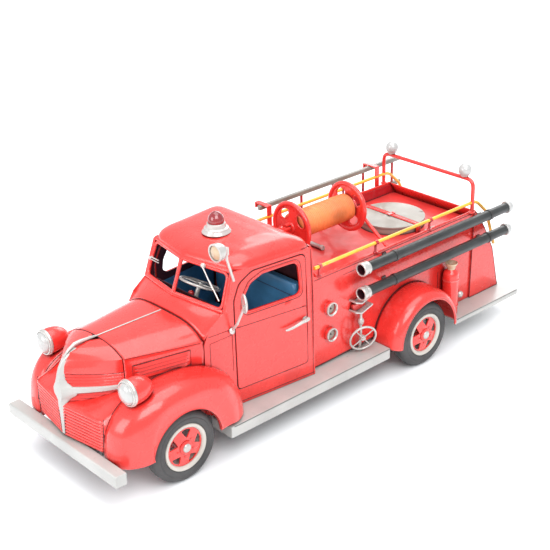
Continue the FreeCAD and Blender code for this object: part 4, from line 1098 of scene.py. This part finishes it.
spot_centre = Vector((95, 43.2, 143))
spot = merged(
    lathe([(-5.5, 0.05), (-5.4, 1.4), (-4.9, 2.9), (-3.6, 4.5), (-1.6, 5.6), (0.6, 6.1), (2.2, 6.2),
           (2.5, 6.38), (3.3, 6.38), (3.4, 6.0), (3.4, 5.2), (2.4, 5.0)], spot_centre, AX, 40),
    tube([spot_centre + Vector((-6.6, 0, 0.9)), spot_centre + Vector((-6.6, 0, -3.9))], 1.65, 14),
    tube([spot_centre + Vector((-6.6, 0, 0)), spot_centre + Vector((-3.6, 0, 0))], 1.2, 12))
piece("spotlight_shell", spot, bright, "spotlight", smooth=40)
lens = lathe([(2.0, 5.1), (2.7, 4.7), (3.2, 3.4), (3.5, 1.8), (3.55, 0.05)], spot_centre, AX, 36)
piece("spotlight_lens", lens, amber, body="spotlight_head")
mast = tube(bent([(84.4, 44.4, 119.5), (88.4, 43.2, 135.0), (88.4, 43.2, 142.0)], 3), 0.95, 12)
mirror = merged(
    lathe([(0, 2.2), (0.6, 2.2), (1.2, 1.4), (1.6, 0.9)], (87.6, 44.1, 84),
          Vector((0.1, 0.9, 0.3)), 20),
    tube(bent([(87.6, 44.1, 84), (87.2, 49.5, 91), (86.2, 54.8, 103), (86.3, 56.0, 106)], 5),
         [0.95] * 14, 12),
    lathe([(-1.3, 0.05), (-1.25, 2.6), (-0.9, 5.2), (-0.2, 6.4), (0.5, 6.6), (0.9, 6.4), (0.7, 5.8),
           (0.5, 0.05)], (86.2, 56.6, 108), Vector((0.88, -0.475, 0)), 40))
piece("mirror_and_mast_metal", merged(mast, mirror), bright, "mirror_and_mast", smooth=45)

pivot, tip = Vector((89.6, 19.5, 124.2)), Vector((92.8, 39.0, 106.0))
button = Vector((89.4, -38.4, 111.4))
inner, outer = Vector((93.0, -25.0, 114.0)), Vector((88.4, -43.0, 109.6))
wiper_parts = [
    lathe([(-1.2, 1.7), (0.4, 1.8), (1.2, 1.3), (1.5, 0.05)], pivot, Vector((1, 0, 0.4)), 20),
    tube([pivot + Vector((0.7, 0, 0)), pivot.lerp(tip, 0.68) + Vector((0.9, 0, 0))], 0.5, 10),
    tube([pivot.lerp(tip, 0.42) + Vector((0.8, 0.5, 0)), tip + Vector((0.4, 0, 0))], 0.5, 10),
    lathe([(-1.0, 1.2), (0.6, 1.2), (1.1, 0.8), (1.2, 0.05)], button, AX, 18),
    tube([inner + AZ * 0.8, button + AZ * 0.8, outer + AZ * 0.8], 0.45, 10),
    tube([inner - AZ, button - AZ, outer - AZ], 0.45, 10)]
piece("wiper_arms", merged(*wiper_parts), bright, "wipers", smooth=50)


# ---------------------------------------------------------------- body

WALL_Y, WALL_TOP, DECK, FRONT_X = 45.0, 97.0, 88.0, 16.6
ARCH_X, ARCH_Z = -84.5, 24.0


def arch_line(radius, y, angles):
    """Points round the rear wheel arch, at one distance out from the middle of the body."""
    return [(ARCH_X + radius * cos(radians(a)), y, ARCH_Z + radius * sin(radians(a)))
            for a in angles]


wall_outline = [(FRONT_X, 26.6), (FRONT_X, WALL_TOP), (-163, WALL_TOP), (-174.5, 79.7),
                (-186, 58.7), (-195.3, 22.6), (-120, 22.6), (-120, 26.6)]
arch_cut = arch_line(33.5, WALL_Y, [180 * n / 22 for n in range(23)])
wall_outline += [(x, z) for x, _, z in reversed(arch_cut) if z > 26.6]
wall = plate(wall_outline, [], 1.0, upright(WALL_Y), 9.0)
front_panel = plate(rounded([(-44.8, 26.6, 0.5), (44.8, 26.6, 0.5), (44.8, WALL_TOP, 1),
                             (-44.8, WALL_TOP, 1)], 1, 3), [], 0.9,
                    lambda u, v, w: (FRONT_X - 0.05 - w, u, v))
tail_line = [(-163, WALL_TOP), (-174.5, 79.7), (-186, 58.7), (-195.3, 22.7)]
tail_curve = [tail_line[0]] + [(p.x, p.z) for p in spline([(x, 0, z) for x, z in tail_line], 5)]
tail_rows = [[Vector((x + 0.4, 44.8 * k / 12, z)) for x, z in tail_curve] for k in range(-12, 13)]
piece("body_walls", merged(wall, flipped(wall), front_panel), red, "body_shell", bevel=0.25)
piece("body_tail_sheet", grid(tail_rows), red, thick=0.9, smooth=50)

# The bed: a deck, and a rolled bead along the top of each wall.
deck_plate = plate(rounded([(FRONT_X - 1.2, -43.9), (FRONT_X - 1.2, 43.9), (-165.5, 43.9),
                            (-165.5, -43.9)], 0.5, 2), [], 1.0, level(DECK), 12.0)
piece("bed_deck_sheet", deck_plate, matt_red, "bed_deck", bevel=0.2)
wall_bead = tube(bent([(FRONT_X - 0.3, WALL_Y - 0.4, WALL_TOP), (-162.6, WALL_Y - 0.4, WALL_TOP),
                       (-174.2, WALL_Y - 0.4, 79.9), (-185.6, WALL_Y - 0.4, 58.8)], 3), 0.75, 10)
piece("body_wall_beads", both(wall_bead), red, smooth=60)
inner_lip = plate([(FRONT_X - 2, 88.05), (FRONT_X - 2, 95.6), (-162, 95.6), (-166, 88.05)], [], 0.6,
                  upright(43.95), 0)
piece("bed_inner_lips", both(inner_lip), deep_red, bevel=0.15)
seam_both([(FRONT_X - 2, 43.2, 88.25), (-160, 43.2, 88.25)], 0.3)
seam_both([(FRONT_X - 1, 45.12, 95.2), (-80, 45.12, 95.2), (-160, 45.12, 95.2)], 0.22)
seam_both([(-15.6, 45.1, 90.5), (-60, 45.1, 90.5), (-120, 45.1, 90.5)], 0.12)

tail_flat = rounded([(-159.2, 22.7, 0.5), (-160.6, 95.4, 2), (-163.6, 95.4, 1), (-174.6, 79.2, 3),
                     (-186, 58.2, 3), (-195.0, 22.7, 0.5)], 2, 4)
tail_piece = plate(tail_flat, [], 1.1, upright(WALL_Y + 1.15), 8.0)
piece("tail_panel_sheets", both(tail_piece), red, "tail_panels", bevel=0.3)
edge_line = [(p.x, WALL_Y + 1.2, p.y) for p in tail_flat]
seam_both(edge_line + edge_line[:1], 0.34)
seam_both([(-120.6, 45.15, 24), (-120.6, 45.15, 40), (-120.4, 45.15, 58)], 0.3)
seam_both([(16.3, 45.25, 28), (16.3, 45.25, 60), (16.3, 45.25, 96)], 0.3)
seam_both([(15.5, 45.2, 27.0), (-20, 45.2, 27.0), (-47, 45.2, 27.0)], 0.3)

# Rear fenders: a level crown that rounds over into an upright lip.
FENDER_SECTION = [(45.0, 36.4), (48, 36.5), (53, 36.5), (58, 36.4), (62.2, 36.0), (65.2, 35.0),
                  (67.4, 33.6), (68.7, 31.8), (69.15, 30.2), (68.9, 29.4), (68.3, 29.3)]
rows = []
for n in range(49):
    angle = radians(-1.6 + 183.2 * n / 48)
    row = []
    for y, radius in FENDER_SECTION:
        z = max(ARCH_Z - 0.2, ARCH_Z + radius * sin(angle))
        row.append(Vector((ARCH_X + radius * cos(angle), y, z)))
    rows.append(row)
fender = grid(rows)
piece("rear_fender_panels", both(fender), red, "rear_fenders", thick=0.9, smooth=60)
piece("rear_fender_beads", both(tube(arch_line(30.0, 68.55, range(0, 181, 6)), 0.6, 8)), red,
      smooth=60)
seam_both(arch_line(36.7, 45.3, range(2, 179, 8)), 0.32)
seam_both(arch_line(30.6, 69.05, range(2, 179, 8)), 0.16)

# Painted shade: dark sheets close the wheel arches from the inside.
arch_shade_sheet = list(zip(*[arch_line(33.2, y, range(0, 181, 9)) for y in (20, 44.5)]))
piece("rear_arch_shade_sheets", both(grid(arch_shade_sheet)), shade_maroon, thick=0.4)


# ---------------------------------------------------------------- bumper, boards, step, frame

bumper = prism(*[[(191.2, y, 22.4), (199.4, y, 22.4), (200, y, 23.2), (200, y, 30.2),
                  (199.3, y, 31), (191.2, y, 31)] for y in (-62, 62)])
piece("front_bumper_bar", bumper, silver, "front_bumper", bevel=0.6)
board_top = plate(rounded([(106.3, 42, 1), (106.3, 62.1, 2.5), (-47.9, 62.1, 0.5),
                           (-47.9, 42, 0.5)], 1, 4), [], 1.0, level(25.5), 9.0)
board_lip = plate(rounded([(106.2, 17.0, 1), (106.2, 25.2, 0.8), (-47.9, 25.2, 0.3),
                           (-47.9, 17.0, 1)], 1, 3), [], 0.9, upright(62.1))
board_end = plate([(42, 17.0), (62.0, 17.0), (62.0, 25.2), (42, 25.2)], [], 0.9,
                  lambda u, v, w: (106.3 - w, u, v))
piece("running_board_sheets", both(merged(board_top, board_lip, board_end)), silver,
      "running_boards", bevel=0.45)
step_top = plate(rounded([(-121.4, -63.4, 0.5), (-121.4, 63.4, 0.5), (-199.9, 63.4, 1.2),
                          (-199.9, -63.4, 1.2)], 1, 4), [], 1.0, level(22.5), 11.0)
step_lip = plate([(-121.5, 18.1), (-121.5, 22.2), (-199.8, 22.2), (-199.8, 18.1)], [], 0.9,
                 upright(63.4))
step_end = plate([(-63.2, 18.1), (63.2, 18.1), (63.2, 22.2), (-63.2, 22.2)], [], 0.9,
                 lambda u, v, w: (-199.9 + w, u, v))
piece("rear_step_tray", merged(step_top, both(step_lip), step_end), silver, "rear_step", bevel=0.45)
seam_both([(-123, 63.1, 18.4), (-160, 63.1, 18.4), (-199, 63.1, 18.4)], 0.2)


# ---------------------------------------------------------------- hose reel

REEL = Vector((-37.5, 0, 116))
HALF = 28.5


def reel_flange(x, outward):
    """A rounded rim on a pressed web with four oval openings."""
    holes = []
    for n in range(4):
        turn = radians(90 * n + 35)
        middle = Vector((11.6 * cos(turn), 11.6 * sin(turn)))
        out = Vector((cos(turn), sin(turn)))
        across = Vector((-out.y, out.x))
        holes.append([middle + out * (3.7 * cos(a)) + across * (5.2 * sin(a))
                      for a in (2 * pi * k / 22 for k in range(22))])

    def place(u, v, w):
        radius = hypot(u, v)
        dish = 0.9 * exp(-(radius / 7.5) ** 2)
        return (x + outward * (dish + 0.35) - outward * w, u, REEL.z + v)

    web = plate(circle(18.0, 56), holes, 0.9, place, 3.0)
    rim = tube(ring_of(Vector((x, 0, REEL.z)), AY, AZ, 17.8, 64), 1.8, 16, closed=True)
    hub = collar([(-2.5, 2.1), (-2.5, 4.2), (1.4, 4.3), (2.2, 3.9), (2.5, 3.3), (2.5, 2.1)],
                 (x, 0, REEL.z), AX * outward, 32)
    beads = merged(*[tube([Vector((x + outward * 0.55, p[1], p[2])) for p in
                           [(0, h.x, REEL.z + h.y) for h in hole]], 0.45, 8, closed=True)
                     for hole in holes])
    return merged(web, rim, hub, beads)


crank = lathe([(0, 1.35), (3.4, 1.3), (4.4, 1.05), (4.5, 0.05)],
              REEL + Vector((HALF + 2.0, 0, 3.0)), AX, 16)
piece("hose_reel_flanges", merged(reel_flange(REEL.x + HALF, 1), reel_flange(REEL.x - HALF, -1),
                                  crank), red, "hose_reel", smooth=50)


def winding():
    """Layers of wound hose: a ridged sleeve whose turns wander a little."""
    rows = []
    steps = 150
    for n in range(steps + 1):
        x = REEL.x - HALF + 1.5 + (2 * HALF - 3.0) * n / steps
        row = []
        for k in range(56):
            angle = 2 * pi * k / 56
            pitch = 1.55
            phase = (x / pitch + k / 56) * 2 * pi
            wander = noise.noise(Vector((x * 0.16, cos(angle) * 1.6, sin(angle) * 1.6)))
            radius = 10.15 + 0.22 * cos(phase) + 0.34 * wander
            row.append(Vector((x, radius * cos(angle), REEL.z + radius * sin(angle))))
        rows.append(row)
    return capped(rows)


piece("hose_winding_turns", winding(), orange, "hose_winding", smooth=50)


def reel_supports():
    front, rear = REEL.x + HALF + 10.5, REEL.x - HALF - 5.5
    parts = [tube([(rear - 1, 0, REEL.z), (front + 1, 0, REEL.z)], 1.95, 20)]
    for x in (front, rear):
        parts.append(lathe([(-1.2, 3.3), (-0.9, 3.5), (0.9, 3.5), (1.3, 3.0), (1.35, 0.05)],
                           (x, 0, REEL.z), AX, 28))
        for side in (1, -1):
            parts.append(tube(bent([(x, side * 1.5, 115.6), (x, side * 37.5, 91.0),
                                    (x, side * 41.0, 88.4)], 3), 1.35, 12))
            parts.append(lathe([(0, 2.6), (0.5, 2.6), (0.8, 2.1), (0.85, 0.05)],
                               (x, side * 40.4, 88.0), AZ, 20))
    return merged(*parts)


piece("reel_stand_legs", reel_supports(), red, "reel_stand", smooth=50)


# ---------------------------------------------------------------- tank

TANK_X, TANK_R = -115.5, 26.4


def half_lid(sign):
    """One half of the round lid, split along the strap."""
    loop = []
    start = asin(2.6 / TANK_R)
    for n in range(31):
        angle = start + (pi - 2 * start) * n / 30
        loop.append((TANK_X + sign * TANK_R * sin(angle), TANK_R * cos(angle)))

    def crowned(u, v, w):
        return u, v, 94.4 - w + 0.35 * (1 - ((u - TANK_X) ** 2 + v * v) / TANK_R ** 2)

    return plate(loop, [], 1.3, crowned, 4.0)


piece("tank_lid_halves", merged(half_lid(1), half_lid(-1)), cream, "tank_lids", bevel=0.3)
piece("tank_tub_wall", lathe([(0, 25.4), (0.4, 25.6), (4.6, 25.5), (5.0, 25.2)],
                             (TANK_X, 0, 88.02), AZ, 64), cream, "tank_tub", smooth=50)
strap_path = [(TANK_X, -28.3, 88.2), (TANK_X, -28.2, 94.0), (TANK_X, -26.5, 94.9),
              (TANK_X, 0, 95.1), (TANK_X, 26.5, 94.9), (TANK_X, 28.2, 94.0), (TANK_X, 28.3, 88.2)]
strap_rows = [[Vector(p) + Vector((-2.3, 0, 0)), Vector(p) + Vector((2.3, 0, 0))]
              for p in bent(strap_path, 2, 3)]
piece("tank_strap_band", grid(strap_rows), red, "tank_strap", thick=0.9, smooth=50)
clasp = merged(block((TANK_X - 3.4, -1.6, 95.0), (TANK_X + 3.4, 1.6, 95.75)),
               lathe([(0, 0.9), (0.5, 0.85), (0.7, 0.05)], (TANK_X - 1.8, 0, 95.6), AZ, 14))
piece("tank_clasp", clasp, red, bevel=0.2)
latch = merged(block((-131, 30.5, 88.05), (-119, 38.5, 89.6)),
               tube([(-125, 32, 90.2), (-125, 37.5, 90.2)], 0.9, 12))
piece("deck_latch", latch, grey, bevel=0.35)
seam(ring_of(Vector((TANK_X, 0, 88.15)), AX, AY, 26.0, 48) + [Vector((TANK_X + 26.0, 0, 88.15))],
     ROOT, 0.35)


# ---------------------------------------------------------------- rails, hoop, ladder

for side, name in SIDES:
    y = side * 46.0
    rail = bent([(13.4, y, 105.5), (-162, y, 105.5), (-176, y, 92.5), (-187.3, y, 62)], 14, 8)
    piece(f"handrail_{name}", tube(rail, 1.28, 14), yellow, smooth=60)
    posts = []
    for x in (8.0, -49.0, -108.0):
        posts.append(tube([(x, side * 45.0, 97.2), (x, side * 45.4, 104.6)], 0.95, 12))
        posts.append(lathe([(0, 1.5), (0.4, 2.0), (1.0, 2.0), (1.5, 1.1)], (x, side * 45.2, 96.9),
                           AZ, 16))
        posts.append(collar([(-1.2, 1.27), (-1.2, 1.75), (1.2, 1.75), (1.2, 1.27)],
                            (x, side * 46.0, 105.5), AX, 18))
    piece(f"handrail_posts_{name}", merged(*posts), deep_red, smooth=50)
for _, name in SIDES:
    stands_for("handrails")

hoop = tube(bent([(-157, -46.5, 97.2), (-157, -46.5, 123.8), (-157, 46.5, 123.8),
                  (-157, 46.5, 97.2)], 6.5, 8), 1.55, 16)
feet = merged(*[lathe([(0, 2.6), (0.7, 2.6), (1.2, 1.7)], (-157, side * 46.2, 97.1), AZ, 20)
                for side in (1, -1)])
piece("rear_hoop_tube", merged(hoop, feet), red, "rear_hoop", smooth=60)
lamps = []
for side in (1, -1):
    at = Vector((-157, side * 37.9, 130.4))
    lamps.append(lathe([(-5.2, 0.9), (-5.0, 1.9), (-4.4, 3.0), (-3.0, 4.3), (-1.2, 5.08),
                        (0.6, 5.17), (2.4, 4.6), (3.9, 3.4), (4.8, 2.0), (5.2, 0.05)], at, AZ, 36))
piece("hoop_lamp_globes", merged(*lamps), bead, "hoop_lamps", smooth=60)
cups = merged(*[collar([(-5.6, 1.6), (-5.2, 2.7), (-4.3, 3.4), (-3.9, 3.3), (-4.6, 2.4),
                        (-5.2, 1.5)], (-157, side * 37.9, 130.4), AZ, 28) for side in (1, -1)])
piece("hoop_lamp_cups", cups, bright, smooth=50)

LADDER_Y = -53.0


def ladder_rail(z):
    return prism(*[[(x, LADDER_Y - 1.6, z - 1.8), (x, LADDER_Y + 1.6, z - 1.8),
                    (x, LADDER_Y + 1.6, z + 1.8), (x, LADDER_Y - 1.6, z + 1.8)]
                   for x in (-24, -184)])


piece("ladder_rails", merged(ladder_rail(111.5), ladder_rail(90.5)), grey, "ladder", bevel=0.6)
rungs = merged(*[tube([(-34 - 35 * n, LADDER_Y, 91), (-34 - 35 * n, LADDER_Y, 111)], 1.1, 14)
                 for n in range(5)])
piece("ladder_rungs", rungs, deep_red, smooth=60)
straps = []
for x in (-30.5, -150.0):
    for a, b in (((x, -51.3, 87), (x + 4.5, -45.2, 88)), ((x, -46.2, 87), (x + 4.5, -45.05, 114.4)),
                 ((x, -59.6, 113.35), (x + 4.5, -45.1, 114.45)),
                 ((x, -59.7, 109.8), (x + 4.5, -58.6, 114.4))):
        straps.append(block(a, b))
piece("ladder_straps", merged(*straps), red, "ladder_brackets", bevel=0.35)


# ---------------------------------------------------------------- suction hoses and fittings

HOSE_Y = 56.0
for level_name, z in (("upper", 95.5), ("lower", 76.5)):
    rows = []
    for n in range(81):
        x = -29.5 - 157.5 * n / 80
        row = []
        for k in range(28):
            angle = 2 * pi * k / 28
            bump = 0.10 * noise.noise(Vector((x * 0.07, cos(angle), sin(angle))))
            row.append(Vector((x, HOSE_Y + (3.82 + bump) * cos(angle),
                               z + (3.82 + bump) * sin(angle))))
        rows.append(row)
    piece(f"suction_hose_{level_name}", capped(rows), hose_skin, smooth=60)
    end = collar([(0, 3.9), (0, 4.6), (0.4, 4.9), (1.6, 4.9), (2.0, 4.7), (2.6, 4.7), (3.0, 5.0),
                  (6.5, 5.1), (7, 4.8), (7, 4.1), (6.6, 3.9), (1.2, 3.85)],
                 (-29.5, HOSE_Y, z), AX, 44)
    piece(f"hose_coupling_{level_name}", end, bright, smooth=40)
    # The dark plug and sleeve inside the coupling are painted shade in its bore.
    plug = lathe([(0.4, 3.84), (1.0, 3.8), (1.2, 0.05)], (-29.3, HOSE_Y, z), AX, 32)
    shade_lining = collar([(0.6, 3.84), (6.3, 3.84), (6.3, 3.6), (0.6, 3.6)], (-29.3, HOSE_Y, z), AX, 36)
    piece(f"hose_mouth_{level_name}", merged(plug, shade_lining), shade_maroon, smooth=50)
    cap = lathe([(0, 4.6), (0.5, 5.0), (1.4, 5.0), (1.8, 4.6), (3.6, 4.5), (4.6, 4.3), (5.0, 3.8),
                 (4.6, 3.3), (4.4, 0.05)], (-187.0, HOSE_Y, z), -AX, 40)
    piece(f"hose_cap_{level_name}", cap, bead, smooth=40)
clips = []
for z in (95.5, 76.5):
    for x in (-60.0, -168.0):
        reach = 45.1 if x > -100 else 46.2
        clips.append(collar([(0.6, 3.9), (0.6, 4.3), (3.4, 4.3), (3.4, 3.9)], (x, HOSE_Y, z), AX,
                            32))
        clips.append(block((x, reach, z - 4.9), (x + 4, 55.5, z - 4.0)))
        clips.append(block((x, reach, z - 8), (x + 4, reach + 0.8, z - 1)))
piece("hose_clip_bands", merged(*clips), black, "hose_clips", bevel=0.15)
for level_name in ("upper", "lower"):
    stands_for("suction_hoses")
    stands_for("hose_couplings")

bottle = lathe([(0, 6.1), (0.8, 6.25), (33.5, 6.2), (35.0, 5.8), (36.2, 4.9), (37.2, 3.8),
                (37.9, 3.3)], (-127.9, 51.8, 22.6), AZ, 40)
band = merged(*[collar([(-0.6, 6.1), (-0.6, 6.6), (0.6, 6.6), (0.6, 6.1)], (-127.9, 51.8, z), AZ,
                       40)
                for z in (30, 52)])
piece("extinguisher_bottle", merged(bottle, band), red, "extinguisher", smooth=45)
cup = lathe([(0, 3.2), (0.6, 3.0), (2.0, 3.7), (4.0, 4.7), (4.8, 5.0), (5.2, 4.8), (4.6, 4.1),
             (3.0, 2.8), (2.8, 0.05)], (-127.9, 51.8, 60.6), AZ, 36)
piece("extinguisher_cup", cup, amber, smooth=50)
for z in (69.5, 49.0):
    shell = collar([(0, 3.9), (0, 5.1), (2.9, 5.15), (3.0, 4.9), (3.0, 3.9)], (-1.6, 45, z), AY, 40)
    piece(f"gauge_shell_{int(z)}", shell, red, smooth=40)
    rim = collar([(2.9, 3.9), (3.0, 5.15), (3.6, 5.2), (4.1, 5.0), (4.15, 4.5), (3.6, 4.0)],
                 (-1.6, 45, z), AY, 40)
    piece(f"gauge_rim_{int(z)}", rim, bright, smooth=40)
    dial = lathe([(1.4, 4.1), (1.7, 4.05), (1.75, 0.05)], (-1.6, 45, z), AY, 32)
    piece(f"gauge_dial_{int(z)}", dial, cream, smooth=40)
    hand = merged(tube([(-1.6, 46.95, z), (0.4, 46.95, z + 2.4)], 0.22, 6),
                  lathe([(1.7, 0.7), (2.2, 0.6), (2.3, 0.05)], (-1.6, 45, z), AY, 14))
    piece(f"gauge_hand_{int(z)}", hand, black)


def chevron(z, width, depth):
    """A bent band that stands out from the wall like a shallow V."""
    line = [(-39.5, z + 0.3), (-28.2, z - 3.2), (-21.6, z - 0.6)]
    return capped([[Vector((x, 0, h)) + Vector((0, 45.05 + out, up))
                    for out, up in ((0, 0), (depth, 0), (depth, width), (0, width))]
                   for x, h in line])


piece("chevron_plates", merged(chevron(68.5, 1.3, 7.4), chevron(60.6, 1.3, 7.4)), bright,
      "pump_fittings", bevel=0.25)
red_blocks = block((-36.5, 45.05, 59.0), (-23.6, 48.0, 64.8))
piece("chevron_blocks", red_blocks, red, bevel=0.8)
HAND, HAND_AXIS = Vector((-28.5, 53, 38)), Vector((0.356, 0.907, -0.224)).normalized()
elbow = HAND - HAND_AXIS * 4
stem = merged(tube(bent([(elbow.x, elbow.y, 58), elbow, HAND + HAND_AXIS * 1.4], 2.5, 5), 1.05, 12),
              lathe([(-2.8, 1.2), (-2.0, 2.0), (0, 2.5), (1.6, 2.1), (2.8, 1.2)],
                    (elbow.x, elbow.y, 50), AZ, 20),
              lathe([(0, 2.4), (0.7, 2.4), (1.3, 1.6), (1.6, 1.2)], (elbow.x - 0.6, 47.4, 25.5),
                    AZ, 20), tube([(elbow.x - 0.6, 47.4, 25.7), elbow], 1.15, 12))
piece("valve_stem", stem, bright, smooth=50)
piece("hand_wheel_ring", spoked(HAND, HAND_AXIS, 10.2, 0.85, 2.3, 4, 0.785, 1.0, 0.45), bright,
      "hand_wheel", smooth=60)
knob = lathe([(0, 1.0), (2.2, 0.9), (2.6, 1.8), (3.8, 2.7), (5.2, 2.3), (6.0, 1.0), (6.05, 0.05)],
             (-144, 45, 32), AY, 28)
piece("drain_knob", knob, bright, smooth=50)
nozzle = lathe([(0, 1.0), (0.6, 1.7), (11.2, 1.7), (11.5, 2.0), (13.4, 2.0), (13.6, 1.3),
                (13.0, 1.1), (12.9, 0.05)], (-40, -13, 89.8), AY, 24)
piece("deck_nozzle", nozzle, bright, smooth=45)

# Rounded rivets hold the boards' hangers and the cab's lower edge.
rivets = []
for x in (8, -12, -44):
    rivets.append(lathe([(0, 0.8), (0.35, 0.6), (0.5, 0.05)], (x, 45.0, 29.6), AY, 10))
for x in (-128, -150, -176):
    rivets.append(lathe([(0, 0.8), (0.35, 0.6), (0.5, 0.05)], (x, 46.1, 26.5), AY, 10))
piece("panel_rivets", both(merged(*rivets)), red)

for body_name, parts in seams.items():
    piece(f"{body_name}_seam_wash", merged(*parts), wash_and_shade, body=body_name, smooth=80)


# ---------------------------------------------------------------- stage, light and camera

floor_mesh = bpy.data.meshes.new("studio_floor")
reach = 6.0
floor_mesh.from_pydata([(-reach, -reach, 0), (reach, -reach, 0), (reach, reach, 0),
                        (-reach, reach, 0)], [], [[0, 1, 2, 3]])
floor = bpy.data.objects.new("studio_floor", floor_mesh)
bpy.context.scene.collection.objects.link(floor)
paper = bpy.data.materials.new("pale_paper")
paper.use_nodes = True
paper.node_tree.nodes["Principled BSDF"].inputs["Base Color"].default_value = (0.93, 0.935, 0.95, 1)
paper.node_tree.nodes["Principled BSDF"].inputs["Roughness"].default_value = 0.7
floor_mesh.materials.append(paper)


def lamp(name, place, target, size, watts, color=(1, 1, 1)):
    light = bpy.data.lights.new(name, "AREA")
    light.shape = "RECTANGLE"
    light.size, light.size_y = size
    light.energy = watts
    light.color = color
    obj = bpy.data.objects.new(name, light)
    bpy.context.scene.collection.objects.link(obj)
    obj.location = place
    obj.rotation_euler = (Vector(target) - Vector(place)).to_track_quat("-Z", "Y").to_euler()
    return obj


lamp("key_panel", (0.55, 1.1, 1.35), (0, 0, 0.05), (1.3, 1.0), 21)
lamp("top_panel", (-0.1, 0.0, 1.7), (0, 0, 0), (1.8, 1.4), 21)
lamp("nose_panel", (1.5, -0.25, 0.7), (0.1, 0, 0.05), (0.9, 0.8), 10)
lamp("rear_panel", (-1.3, -0.7, 0.9), (-0.1, 0, 0.06), (1.0, 0.9), 9)

world = bpy.data.worlds.new("studio")
bpy.context.scene.world = world
world.use_nodes = True
world.node_tree.nodes["Background"].inputs["Color"].default_value = (0.95, 0.97, 1.0, 1)
world.node_tree.nodes["Background"].inputs["Strength"].default_value = 0.75
bpy.context.scene.view_settings.view_transform = "Standard"

camera_data = bpy.data.cameras.new("photo_camera")
camera_data.sensor_width = 36
camera_data.lens = 78.08
camera = bpy.data.objects.new("photo_camera", camera_data)
bpy.context.scene.collection.objects.link(camera)
azimuth, elevation, roll = (radians(a) for a in (48.07, 25.14, -1.49))
back = Vector((cos(azimuth) * cos(elevation), sin(azimuth) * cos(elevation),
               sin(elevation)))
right = (-back).cross(AZ).normalized()
up = right.cross(-back)
right, up = (right * cos(roll) + up * sin(roll),
             up * cos(roll) - right * sin(roll))
camera.matrix_world = Matrix((
    (right.x, up.x, back.x, 0.53123), (right.y, up.y, back.y, 0.58194),
    (right.z, up.z, back.z, 0.45079), (0, 0, 0, 1)))
bpy.context.scene.camera = camera
